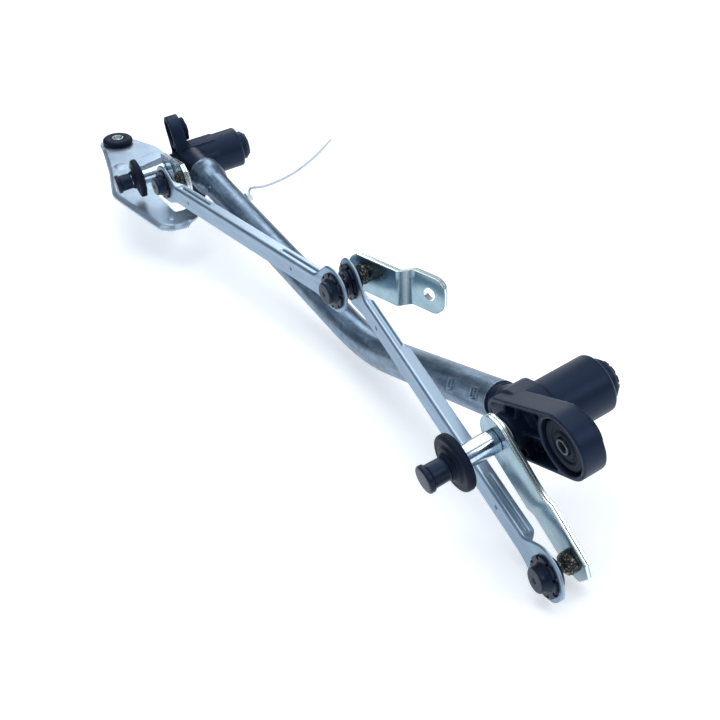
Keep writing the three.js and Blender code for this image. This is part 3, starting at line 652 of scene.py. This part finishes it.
def tube_radius(s, angle, length):
    """Outside radius: widened left mouth, pressed marks near both ends."""
    r = TUBE_R + (FLARE_R - TUBE_R) * (1 - smooth_step((s - FLARE_LENGTH) / FLARE_TAPER))
    r += 0.5 * (1 - smooth_step(s / 2.5)) - 0.5 * (1 - smooth_step((s - 2.5) / 3))
    for reach, centre in CRIMPS:
        along_tube = length - s - reach
        around = math.radians((angle - centre + 180) % 360 - 180) * TUBE_R
        inside = window(along_tube, 3.0, 0.7) * window(around, 2.9, 0.7)
        border = window(along_tube, 4.4, 1.0) * window(around, 4.2, 1.0)
        r += 0.5 * border - 1.9 * inside
    for reach, centre in DIMPLES:
        around = math.radians((angle - centre + 180) % 360 - 180) * TUBE_R
        r -= 1.6 * math.exp(-((s - reach) ** 2 + around**2) / 4.5)
    return r


def cross_tube():
    path = TubePath()
    stations = [0.0]
    while stations[-1] < path.length - 0.01:
        s = stations[-1]
        fine = s < 48 or s > path.length - 52
        stations.append(min(path.length, s + (0.7 if fine else 5.0)))
    sides = 128
    rows = []
    uvs = []
    for inner in (False, True):
        for s in reversed(stations) if inner else stations:
            centre, direction = path.station(s)
            rise = Vector((-direction.z, 0, direction.x))
            row = []
            for k in range(sides):
                angle = 360 * k / sides
                r = tube_radius(s, angle, path.length) - (TUBE_WALL if inner else 0)
                a = math.radians(angle)
                row.append(centre + Vector((0, -1, 0)) * (r * math.cos(a)) + rise * (r * math.sin(a)))
            rows.append(row)
            uvs.append(s)
    bm = strip(rows, closed_rows=True, closed_columns=True)
    layer = bm.loops.layers.uv.new("along")
    bm.verts.index_update()
    for face in bm.faces:
        columns = [loop.vert.index % sides for loop in face.loops]
        wraps = max(columns) - min(columns) > 1
        for loop, column in zip(face.loops, columns):
            turn = sides if wraps and column == 0 else column
            s = uvs[loop.vert.index // sides]
            loop[layer].uv = (s * MM, turn / sides * 2 * math.pi * TUBE_R * MM)
    tube = new_object(bm)
    notch = mapped(
        spun(block(-5, 5, -1, 11, -FLARE_R - 3, -FLARE_R + 6), -35), along(TUBE_LEFT_MOUTH, into_left)
    )
    return cut(tube, notch, moved(disc(2.4, 5, 20, 0, 40), *TIE_AT))


place(cross_tube(), "cross_tube", Matrix.Identity(4))


# ---- bearing housings ----
BARREL_R = 18.85
BARREL_END_Y = 76
END_BOSS_R = 13.5
END_BOSS_Y = 81
HUB_BOSS_R = 12.5
HUB_BOSS_Y = 8.2
BORE_R = 9.3
EYE = {
    "right": {"at": (51, 19, 20.5), "near": 12, "back": 27, "hole": 9.3, "sleeve": 13},
    "left": {"at": (-4, 32, 15.5), "near": 14, "back": 26, "hole": 7.8, "sleeve": 21},
}
SLEEVE_R = 5
SLEEVE_BORE_R = 3.6
BRACKET_LUG = (-31, -15, 12)
RIVET_SPOTS = ((-34, -9), (-26, -20))
HOUSING_WALL = 3


def shrunk(circle):
    return (*circle[:2], circle[2] - HOUSING_WALL)


def flange(hub, eye, lobe, near, back, ribs):
    """Hollow flange with a ringed eye cup; ribs run from the hub to the rim."""
    floor = back - HOUSING_WALL
    outer = join(plate(link(hub, eye), near, back), plate(link(hub, lobe), near, back))
    hollow = join(
        plate(link(shrunk(hub), shrunk(eye)), near - 1, floor),
        plate(link(shrunk(hub), shrunk(lobe)), near - 1, floor),
    )
    outside = outer.copy()
    outside.data = outer.data.copy()
    bpy.context.scene.collection.objects.link(outside)
    ribbing = spun(block(0, 60, near + 2, floor + 0.5, -1.1, 1.1), ribs[0])
    for angle in ribs[1:]:
        join(ribbing, spun(block(0, 60, near + 2, floor + 0.5, -1.1, 1.1), angle))
    common(ribbing, outside)
    eye_block = moved(disc(eye[2], near, floor + 0.5), eye[0], 0, eye[1])
    body = join(cut(outer, hollow), ribbing, eye_block)
    cup = moved(disc(eye[2] - HOUSING_WALL, near - 1, floor), eye[0], 0, eye[1])
    return cut(body, cup)


def barrel():
    return turned(
        [
            (0, HUB_BOSS_Y), (HUB_BOSS_R, HUB_BOSS_Y), (HUB_BOSS_R, 22), (BARREL_R, 24),
            (BARREL_R, BARREL_END_Y - 1.5), (BARREL_R - 1.5, BARREL_END_Y),
            (END_BOSS_R, BARREL_END_Y), (END_BOSS_R, END_BOSS_Y), (0, END_BOSS_Y),
        ],
        0.6,
    )


def bores(side):
    eye = EYE[side]
    hole = moved(disc(eye["hole"], 0, 60), eye["at"][0], 0, eye["at"][1])
    return [disc(BORE_R, -5, 100), hole]


def right_housing():
    eye = EYE["right"]
    body = flange((0, 1, 19.5), eye["at"], (-8, 4, 14), eye["near"], eye["back"],
                  (200, 262, 318, 20, 70))
    collar = turned(
        [
            (0, -24), (12.4, -24), (12.4, -9), (11.2, -8), (11.2, -5), (12.0, -4.6), (12.0, -3.2),
            (11.2, -2.8), (11.2, -GAP), (10.2, -GAP), (10.2, 36), (8.2, 38), (0, 38),
        ]
    )
    into_spindle = SPINDLE["right"].inverted() @ along(TUBE_RIGHT_MOUTH, into_right)
    web = plate(link((-18, 4, 3), (0, 12, 6)), 20, 48, 1.5)
    sleeve = plate(link((0, 1, 20.2), (-8, 5, 14.5)), 20, 37, 0.8)
    solid = join(body, barrel(), mapped(collar, into_spindle), web, sleeve)
    return moulded(cut(solid, *bores("right")))


def left_housing():
    eye = EYE["left"]
    body = flange((0, 0, BARREL_R), eye["at"], BRACKET_LUG, eye["near"], eye["back"],
                  (0, 50, 115, 290))
    lug = moved(disc(BRACKET_LUG[2] - 0.5, 14, 24), BRACKET_LUG[0], 0, BRACKET_LUG[1])
    plug = turned(
        [
            (0, -30), (12.6, -30), (12.6, -GAP), (13, -GAP), (13, 11.5), (10.2, 27.5), (10.2, 44),
            (0, 44),
        ]
    )
    into_spindle = SPINDLE["left"].inverted() @ along(TUBE_LEFT_MOUTH, into_left)
    rib = plate([(20, -20), (20, -42), (30, -42), (48, -10), (48, -5), (22, -5)], -5, 0)
    rib.data.transform(Matrix(((0, 1, 0, 0), (1, 0, 0, 0), (0, 0, 1, 0), (0, 0, 0, 1))))
    rib.data.flip_normals()
    ears = [
        spun(block(0, BARREL_R + 1.1, 24, 52, -0.9, 0.9), angle) for angle in (20, 62, 104, 146)
    ]
    solid = join(body, lug, barrel(), mapped(plug, into_spindle), rib, *ears)
    rivets = [moved(disc(2.8, 5, 60), x, 0, z) for x, z in RIVET_SPOTS]
    return moulded(cut(solid, *bores("left"), *rivets))


place(right_housing(), "right_housing", SPINDLE["right"], 50)
place(left_housing(), "left_housing", SPINDLE["left"], 50)


# ---- eye grommets and sleeves ----
for side, eye in EYE.items():
    x, z, r = eye["at"]
    cup = r - HOUSING_WALL - GAP
    neck = eye["hole"] - GAP
    floor = eye["back"] - HOUSING_WALL
    near = eye["near"]
    profile = [
        (SLEEVE_R + GAP, near + 2.5), (neck - 1, near + 2.2), (neck, near + 3.4),
        (neck + 1.4, near + 3.4), (neck + 2.4, near + 2.1), (cup - 2, near + 2), (cup, near + 4),
        (cup, floor - GAP), (neck, floor - GAP), (neck, eye["back"] + GAP),
        (neck + 3.5, eye["back"] + GAP), (neck + 3.5, eye["back"] + 4.5),
        (SLEEVE_R + GAP, eye["back"] + 4.8), (SLEEVE_R + GAP, near + 2.5),
    ]
    place(moved(turned(profile, 0.8), x, 0, z), f"{side}_eye_grommet", SPINDLE[side])
    pipe = washer(SLEEVE_R, SLEEVE_BORE_R, eye["sleeve"], eye["back"] + 6)
    place(moved(pipe, x, 0, z), f"{side}_eye_sleeve", SPINDLE[side])


# ---- left bracket ----
PLATE_THICK = 2.5
PLATE_RIM = 7
PLATE_OUTLINE = (
    (-17, -6), (-9, -18), (12, -20), (57, -29), (106, -42), (118, -41), (168, -31),
    (196, -25), (204, -16), (204, -3), (199, 11), (188, 19), (134, 21), (98, 21), (84, 30),
    (58, 36), (28, 34), (2, 21), (-14, 12),
)
RIM_FRONT_Z = 6  # the rim is turned down on this side of the plate only


def edge_distance(point, outline):
    best = 1e9
    for a, b in zip(outline, outline[1:] + outline[:1]):
        span = b - a
        t = min(1.0, max(0.0, (point - a).dot(span) / span.length_squared))
        best = min(best, (point - a - span * t).length)
    return best


HUMP_START = Vector((66, 2))
HUMP_RUN = Vector((-8, 19))


def bracket_height(x, z, outline):
    """Drop of the sheet along +Y: rim turned down, one raised hump, one dimple."""
    drop = 0.0
    if z < RIM_FRONT_Z and x > 4:
        away = max(0.0, 3.2 - edge_distance(Vector((x, z)), outline)) / 3.2
        fade = smooth_step((RIM_FRONT_Z - z) / 6) * smooth_step((x - 4) / 8)
        drop += fade * (PLATE_RIM - PLATE_THICK) * away * away
    from_hump = Vector((x, z)) - HUMP_START
    t = min(1.0, max(0.0, from_hump.dot(HUMP_RUN) / HUMP_RUN.length_squared))
    hump = (from_hump - HUMP_RUN * t).length
    drop -= 5.0 * smooth_step((11.5 - hump) / 3.2)
    drop -= 1.2 * smooth_step((7.5 - math.dist((x, z), (57, -16))) / 4.0)
    return drop


def bracket_plate():
    outline = softened(PLATE_OUTLINE, 9, True, 6)
    step = 0.9
    columns = [-45 + step * k for k in range(int(84 / step) + 1)]
    rows = [[(-19 + step * i, z) for z in columns] for i in range(int(226 / step) + 1)]
    top = [[Vector((px, bracket_height(px, pz, outline), pz)) for px, pz in row] for row in rows]
    solid = common(slab(top, PLATE_THICK), plate(outline, -6, 12, 0))
    opening = softened([(128, -5), (178, -3), (177, 9), (168, 12), (128, 12)], 4, True)
    cut(
        solid,
        plate(opening, -5, 10, 0),
        disc(11.3, -5, 10, 0),
        moved(disc(2.5, -5, 10, 0), 189, 0, -11),
    )
    tab_outline = softened([(-42, -30), (-42, -4), (-18, -4), (-18, -30)], 5, True)
    tab = plate(tab_outline, 11.2, 13.7)
    cut(tab, *[moved(disc(2.8, 5, 20, 0), rx, 0, rz) for rx, rz in RIVET_SPOTS])
    whole = join(solid, mapped(tab, BRACKET.inverted() @ SPINDLE["left"]))
    return moulded(whole, 0.55)


place(bracket_plate(), "bracket_plate", BRACKET, 50)
bracket_grommet = turned(
    [
        (6.6, -6.2), (8.4, -6.5), (13.5, -6.5), (15.6, -4.8), (15.6, -1.8), (14, -GAP), (11, -GAP),
        (11, PLATE_THICK + GAP), (14, PLATE_THICK + GAP), (14.5, PLATE_THICK + 4),
        (6.6, PLATE_THICK + 4), (6.6, -6.2),
    ],
    0.9,
)
place(bracket_grommet, "bracket_grommet", BRACKET)
place(washer(6.3, 4.3, -7, PLATE_THICK + 5, 0.5), "bracket_sleeve", BRACKET)
for number, (x, z) in enumerate(RIVET_SPOTS, 1):
    profile = [
        (0, 8.6), (2.4, 8.9), (4.2, 10.9), (2.5, 10.9), (2.5, 26.3), (4.6, 26.3), (3.6, 28.3),
        (0, 28.8),
    ]
    place(moved(turned(profile, 0.3, 40), x, 0, z), f"bracket_rivet_{number}", SPINDLE["left"])


# ---- spindles and what sits on them ----
SHAFT_R = 6.6
SHOULDER_R = 7.4
SHAFT_END_Y = 85.5
CAP_END_Y = -48.8
LEVER_NEAR_Y = 1.2
LEVER_THICK = 4.5
LEVER_JOGGLE = 1.6
SHANK_R = 4.3
BALL_R = 6.5
BALL_NECK_R = 3.6

SPINDLE_PROFILE = [
    (0, -46.3), (3.4, -46.3), (3.9, -45.5), (3.9, -39), (5.2, -38.5), (SHAFT_R, -32),
    (SHAFT_R, -22.1), (SHOULDER_R, -22.1), (SHOULDER_R, LEVER_NEAR_Y - GAP),
    (SHAFT_R, LEVER_NEAR_Y - GAP), (SHAFT_R, SHAFT_END_Y - 1), (SHAFT_R - 1, SHAFT_END_Y),
    (0, SHAFT_END_Y),
]
SEAL_PROFILE = [
    (SHAFT_R + GAP, -33.5), (8.4, -33.5), (8.8, -31.4), (11.6, -31), (12.2, -30.2), (13, -29.6),
    (15.6, -29.8), (16.4, -30), (17.6, -29.4), (18.25, -28.2), (18.25, -25), (17.6, -24),
    (14.6, -23.6), (13.6, -22.8), (9, -22.4), (SHAFT_R + GAP, -22.4), (SHAFT_R + GAP, -33.5),
]
CAP_PROFILE = [
    (0, CAP_END_Y), (7.4, CAP_END_Y), (8.2, CAP_END_Y + 0.3), (8.8, -48), (8.8, -45.2), (7.6, -44.4),
    (7.4, -34.8), (8, -33.8), (SHAFT_R + GAP, -33.8), (5.7, -38.9), (4.3, -39.4), (4.3, -46.8),
    (0, -46.8),
]


def lever_plate():
    hub = arc(0, 0, 15.5, 88, 272, 48)
    tip = softened([(86, -12.7), (93, -7), (93, 7), (86, 12.7)], 1.5, False)
    body = plate(hub + [tuple(p) for p in tip], LEVER_NEAR_Y, LEVER_NEAR_Y + LEVER_THICK, 0.5, 0.35)
    bent(body, 42, 7, LEVER_JOGGLE)
    hole = moved(disc(SHANK_R + GAP, -5, 20, 0), LEVER_LENGTH)
    return cut(body, disc(SHAFT_R + GAP, -5, 15, 0), hole)


def ball_arc(centre, start, steps=10):
    """Ball profile from a start angle at the arm-side pole to its far neck."""
    end = math.pi - math.asin(BALL_NECK_R / BALL_R)
    angles = [start + (end - start) * k / steps for k in range(steps + 1)]
    return [(BALL_R * math.sin(a), centre - BALL_R * math.cos(a)) for a in angles]


def lever_stud():
    seat = LEVER_NEAR_Y + LEVER_JOGGLE - GAP
    back = LEVER_NEAR_Y + LEVER_JOGGLE + LEVER_THICK + GAP
    profile = ball_arc(LEVER_BALL_Y, 0) + [
        (BALL_NECK_R, seat - 7), (5.6, seat - 5.6), (6.6, seat - 5), (6.2, seat - 4.1),
        (7.2, seat - 3.4), (6.7, seat - 2.5), (7.2, seat - 1.6), (7.2, seat), (SHANK_R, seat),
        (SHANK_R, back), (6.6, back), (5.6, back + 1.8), (0, back + 1.8),
    ]
    return moved(turned(profile, 0.25, 48), LEVER_LENGTH)


def retaining_ring():
    ring_y = END_BOSS_Y + 1.6
    ring = washer(10.4, SHAFT_R + GAP, ring_y, ring_y + 1.5)
    notches = [
        spun(block(9.2, 13, ring_y - 1, ring_y + 3, -0.9, 0.9, 0), 36 * k) for k in range(10)
    ]
    return cut(ring, *notches)


for side, centre in SPINDLE.items():
    front = LEVER_NEAR_Y + LEVER_THICK + GAP
    place(turned(SPINDLE_PROFILE, 0.3, 96), f"{side}_spindle", centre)
    place(turned(SEAL_PROFILE, 0.5, 96), f"{side}_seal_disc", centre)
    place(turned(CAP_PROFILE, 0.5, 80), f"{side}_cap", centre)
    place(washer(11, SHAFT_R + GAP, front, HUB_BOSS_Y - GAP), f"{side}_front_washer", centre)
    place(washer(BORE_R - GAP, SHAFT_R + GAP, HUB_BOSS_Y + 0.5, 30), f"{side}_front_bush", centre)
    place(washer(BORE_R - GAP, SHAFT_R + GAP, 60, END_BOSS_Y - 0.5), f"{side}_rear_bush", centre)
    rear = washer(11.8, SHAFT_R + GAP, END_BOSS_Y + GAP, END_BOSS_Y + 1.3, 0.2)
    place(rear, f"{side}_rear_washer", centre)
    place(retaining_ring(), f"{side}_retaining_ring", centre)
    place(lever_plate(), f"{side}_lever", LEVER[side])
    place(lever_stud(), f"{side}_ball_stud", LEVER[side])


# ---- connecting rods ----
ROD_THICK = 2.0
ROD_LOW_Z = -11.2
ROD_TOP_Z = 3.2
ROD_EYE_R = 15.8
ROD_FLANGE_Y = 7.4
ROD_SHALLOW_Y = 5.0
ROD_BEND_R = 1.2
SOCKET_R = 9.8
ROD_POCKETS = {"rod_a": ((32, 92), (218, 276)), "rod_b": ((18, 74), (185, 233))}
ROD_HOLES = {"rod_a": ((51, -4.3), (238, -4.4)), "rod_b": ((43.5, -5.5), (204.5, -4.2))}
ROD_POCKET_Y = 2.0
ROD_POCKET_DEPTH = 1.3
ROD_CREST = 0.9


def rod_edges(x, length):
    """Lower and upper edge of the web: round at the eyes, level along the beam."""
    end = min(x, length - x)
    if end < 0:
        reach = max(0.15, math.sqrt(max(0.0, ROD_EYE_R**2 - end**2)))
        return -reach, reach
    blend = smooth_step((end - 4) / 24)
    low = -ROD_EYE_R + (ROD_LOW_Z + ROD_EYE_R) * blend
    return low, ROD_EYE_R + (ROD_TOP_Z - ROD_EYE_R) * blend


def rod_flange_depth(name, x, length):
    """How far the flange reaches back: almost nothing at the eyes, less at the start of rod B."""
    end = min(x, length - x)
    depth = ROD_FLANGE_Y
    if name == "rod_b":
        depth = ROD_SHALLOW_Y + (ROD_FLANGE_Y - ROD_SHALLOW_Y) * smooth_step((x - 74) / 3)
    return 0.5 + (depth - 0.5) * smooth_step((end - 18) / 10)


def rod_pocket(x, y, pockets):
    """Depth of the groove pressed in the flange's outer face."""
    deepest = 0.0
    for start, stop in pockets:
        reach = max(start + 3 - x, x - stop + 3, 0.0)
        across = math.hypot(reach, max(0.0, abs(y - ROD_POCKET_Y) - 0.7))
        deepest = max(deepest, smooth_step((2.2 - across) / 1.4))
    return ROD_POCKET_DEPTH * deepest


def rod_profile(name, x, length, pockets):
    """One cross-section of the L: up the web, round the bend, back along the flange."""
    low, top = rod_edges(x, length)
    depth = rod_flange_depth(name, x, length)
    bend = min(ROD_BEND_R, 0.8 * depth, 0.4 * (top - low))
    beam = smooth_step((min(x, length - x) - 17) / 9)
    row = []
    for k in range(41):
        z = low + (top - bend - low) * k / 40
        row.append([-ROD_CREST * beam * smooth_step((z + 1.5) / 3.5), z])
    start = row[-1][0]
    for k in range(1, 7):
        angle = math.pi / 2 * k / 6
        row.append([start + bend * (1 - math.cos(angle)), top - bend + bend * math.sin(angle)])
    back = start + bend
    for k in range(1, 17):
        y = back + (depth - back) * k / 16
        row.append([y, top - beam * rod_pocket(x, y, pockets)])
    return [Vector((x, y, z)) for y, z in row]


def rod_sheet(name):
    length = ROD_LENGTH[name]
    stations = [-ROD_EYE_R * math.cos(math.pi / 2 * k / 12) for k in range(12)]
    stations += [1.0 * k for k in range(int(length) + 1)]
    stations += [length + ROD_EYE_R * math.sin(math.pi / 2 * k / 12) for k in range(1, 13)]
    rows = [rod_profile(name, x, length, ROD_POCKETS[name]) for x in stations]
    bm = strip(rows)
    sheet = new_object(bm)
    thicken = sheet.modifiers.new("thicken", "SOLIDIFY")
    thicken.thickness = ROD_THICK
    thicken.offset = 0
    thicken.use_even_offset = False
    bake(sheet)
    holes = [moved(disc(SOCKET_R + GAP, -9, 9, 0), x) for x in (0, length)]
    holes += [moved(disc(1.6, -9, 9, 0, 24), x, 0, z) for x, z in ROD_HOLES[name]]
    return cut(sheet, *holes)


def socket(play, through, notches):
    """Snap-in nylon cup; a through cup is open on both sides, a blind one has a knob."""
    cavity = BALL_R + play
    lip_y = 3.5
    lip = math.sqrt(cavity**2 - lip_y**2)
    skirt = 5.2
    flare = min(lip + skirt - lip_y, 9)
    near = -ROD_THICK / 2 - GAP
    far = ROD_THICK / 2 + GAP
    rim = [
        (13, near - 1.8), (13, near), (SOCKET_R, near), (SOCKET_R, far), (10.9, far),
        (10.9, far + 1.4), (9.8, skirt), (flare, skirt),
    ]
    top = math.atan2(lip_y, lip)
    bottom = -top if through else -math.pi / 2
    angles = [top + (bottom - top) * k / 12 for k in range(13)]
    inside = [(max(0.0, cavity * math.cos(a)), cavity * math.sin(a)) for a in angles]
    if through:
        mouth = [(flare, -skirt), (9.4, -skirt), (9.9, near - 1.8)]
        cup = turned([*mouth, *rim, *inside, (flare, -skirt)], 0.25, 56)
    else:
        inside[-1] = (0, -cavity)
        dome = -cavity - 1.6
        outside = [
            (0, dome + 0.5), (1.6, dome + 0.5), (2.1, dome), (7.4, dome), (8, dome + 0.8),
            (8, dome + 3), (8.6, dome + 3.8), (9.6, near - 1.8),
        ]
        cup = turned([*outside, *rim, *inside], 0.25, 56)
    cutters = []
    for k in range(notches):
        slot = block(10.6, 14, near - 3, near + 0.1, -1.1, 1.1, 0)
        cutters.append(spun(slot, 360 * k / notches))
    return cut(cup, *cutters) if cutters else cup


OPEN_PIVOT_PLAY = 2
BALL_PLAY = 0.4
for name, start_play, start_through in (("rod_a", OPEN_PIVOT_PLAY, False), ("rod_b", BALL_PLAY, True)):
    place(rod_sheet(name), name, ROD[name], 45)
    place(socket(start_play, start_through, 8), f"{name}_left_socket", ROD[name])
    right_end = ROD[name] @ Matrix.Translation((ROD_LENGTH[name] * MM, 0, 0))
    place(socket(BALL_PLAY, False, 8), f"{name}_right_socket", right_end)


# ---- motor crank ----
CRANK_THICK = 4.5
CRANK_WIDTH = 27.8
CRANK_BEND_AT = 30.7
CRANK_BEND_RUN = 8.6
CRANK_JOGGLE = 9.2
CRANK_END = 66.2
CRANK_HOLE_AT = 52.8
CRANK_HOLE_R = 4.9


def crank_arm():
    h = CRANK_WIDTH / 2
    corners = [
        (-13, -h + 6), (-7, -h), (CRANK_END - 7, -h), (CRANK_END, -h + 7), (CRANK_END, h - 6),
        (CRANK_END - 6, h), (-7, h), (-13, h - 6),
    ]
    body = plate(softened(corners, 3.5, True), 0, CRANK_THICK, 0.5, 0.3)
    bent(body, CRANK_BEND_AT, CRANK_BEND_RUN, CRANK_JOGGLE, 10)
    hole = moved(disc(CRANK_HOLE_R, -5, 20, 0), CRANK_HOLE_AT)
    return cut(body, disc(SHANK_R + GAP, -5, 20, 0), hole)


def crank_pin():
    back = CRANK_THICK + GAP
    profile = (
        ball_arc(PIN_OUTER_BALL_Y, 0)
        + ball_arc(PIN_INNER_BALL_Y, math.asin(BALL_NECK_R / BALL_R))
        + [
            (BALL_NECK_R, -6.0), (5.6, -5.2), (5.2, -4.4), (6.8, -3.6), (6.4, -2.7), (7.4, -1.9),
            (7.6, -GAP), (SHANK_R, -GAP), (SHANK_R, back), (7, back), (6, back + 2), (0, back + 2),
        ]
    )
    return turned(profile, 0.25, 48)


place(crank_arm(), "crank_arm", CRANK)
place(crank_pin(), "crank_ball_pin", CRANK)


# ---- cable tie ----
def cable_tie():
    stem = turned(
        [
            (0, 6.4), (1.6, 6.4), (3.1, 9.2), (2, 9.6), (2, TUBE_R + GAP), (4.6, TUBE_R + GAP),
            (4.6, 14.6), (0, 14.6),
        ],
        0.3,
        40,
    )
    clip = moved(join(stem, block(-3.2, 3.2, 14.2, 17.8, -2.6, 2.6)), *TIE_AT)
    knots = [
        TIE_AT + Vector((1, 16, 0)), Vector((-441, 89.3, 0)), Vector((-396, 89.8, 17.5)),
        Vector((-354, 98.8, 37)), Vector((-310, 105.8, 63)), Vector((-272.6, 108.8, 88)),
    ]
    points = []
    for i in range(len(knots) - 1):
        a = knots[max(0, i - 1)]
        b, c = knots[i], knots[i + 1]
        d = knots[min(len(knots) - 1, i + 2)]
        for k in range(12):
            t = k / 12
            points.append(
                0.5 * (2 * b + (c - a) * t + (2 * a - 5 * b + 4 * c - d) * t**2
                       + (3 * b - a - 3 * c + d) * t**3)
            )
    points.append(knots[-1])
    rows = []
    for i, here in enumerate(points):
        heading = (points[min(i + 1, len(points) - 1)] - points[max(i - 1, 0)]).normalized()
        side = heading.cross(Vector((0, 1, 0))).normalized()
        through = side.cross(heading)
        taper = 1.0 if i < len(points) - 8 else 0.7 + 0.3 * (len(points) - 1 - i) / 8
        ring = ((-1.0, -0.3), (-0.8, -0.5), (0.8, -0.5), (1.0, -0.3), (1.0, 0.3), (0.8, 0.5),
                (-0.8, 0.5), (-1.0, 0.3))
        rows.append([here + side * (u * taper) + through * v for u, v in ring])
    bm = strip(rows, closed_columns=True)
    bm.verts.ensure_lookup_table()
    bm.faces.new(bm.verts[:8])
    bm.faces.new(bm.verts[-8:])
    return join(clip, new_object(bm))


place(cable_tie(), "cable_tie", Matrix.Identity(4))


# ---- stage: pale floor, soft light, camera above the arm side ----
def floor_material():
    material = bpy.data.materials.new("floor")
    material.use_nodes = True
    nodes = material.node_tree.nodes
    shader = nodes["Principled BSDF"]
    shader.inputs["Roughness"].default_value = 0.9
    shader.inputs["Emission Color"].default_value = (1, 1, 1, 1)
    shader.inputs["Emission Strength"].default_value = 0.42
    speck = nodes.new("ShaderNodeTexNoise")
    speck.inputs["Scale"].default_value = 3
    tint = ramp(nodes, 0.3, 0.7, (0.93, 0.935, 0.94), (0.95, 0.95, 0.955))
    material.node_tree.links.new(speck.outputs["Fac"], tint.inputs["Fac"])
    material.node_tree.links.new(tint.outputs["Color"], shader.inputs["Base Color"])
    return material


FLOOR_SIZE = 14
floor_z = cad_box[0].z - 0.002
half_floor = FLOOR_SIZE / 2
floor_rows = [
    [Vector((half_floor * x, half_floor * y, floor_z)) for y in (-1, 0, 1)] for x in (-1, 0, 1)
]
floor = new_object(strip(floor_rows))
floor.name = "floor"
floor.data.materials.append(floor_material())


def softbox(name, location, target, size, watts, colour=(1, 1, 1)):
    light = bpy.data.lights.new(name, "AREA")
    light.shape = "RECTANGLE"
    light.size, light.size_y = size
    light.energy = watts
    light.color = colour
    obj = bpy.data.objects.new(name, light)
    bpy.context.scene.collection.objects.link(obj)
    obj.location = location
    obj.rotation_mode = "QUATERNION"
    obj.rotation_quaternion = (Vector(target) - Vector(location)).to_track_quat("-Z", "Y")


middle = (cad_box[0] + cad_box[1]) / 2
softbox("overhead", (-0.4, 0.5, 2.2), middle, (2.4, 1.6), 24, (0.93, 0.97, 1.0))
softbox("arm_side", (0.1, -1.9, 1.2), middle, (1.8, 0.9), 9, (0.9, 0.95, 1.0))
softbox("far_side", (-1.9, 0.9, 1.1), middle, (0.5, 1.6), 8, (0.93, 0.97, 1.0))
softbox("edge_light", (1.9, 1.3, 1.7), middle, (0.9, 1.2), 16, (0.95, 0.98, 1.0))

world = bpy.data.worlds.new("studio")
bpy.context.scene.world = world
world.use_nodes = True
sky = world.node_tree.nodes
look = sky.new("ShaderNodeTexCoord")
height = sky.new("ShaderNodeSeparateXYZ")
world.node_tree.links.new(look.outputs["Generated"], height.inputs["Vector"])
gradient = ramp(sky, 0.02, 0.75, (0.1, 0.13, 0.18), (0.72, 0.82, 0.95))
world.node_tree.links.new(height.outputs["Z"], gradient.inputs["Fac"])
world.node_tree.links.new(gradient.outputs["Color"], sky["Background"].inputs["Color"])
sky["Background"].inputs["Strength"].default_value = 0.5

CAMERA_AT = Vector((0.4455, -0.1789, 0.415))
CAMERA_RIGHT = Vector((0.474, 0.851, -0.227))
CAMERA_UP = Vector((-0.412, 0.442, 0.797))
camera = bpy.data.cameras.new("camera")
camera.lens = 55.93
camera.sensor_width = 36
camera.clip_start = 0.01
camera_object = bpy.data.objects.new("camera", camera)
bpy.context.scene.collection.objects.link(camera_object)
back = CAMERA_RIGHT.cross(CAMERA_UP).normalized()
right = CAMERA_UP.cross(back).normalized()
camera_object.matrix_world = axes_frame(right, back.cross(right), back, CAMERA_AT)
bpy.context.scene.camera = camera_object
bpy.context.scene.view_settings.view_transform = "Standard"
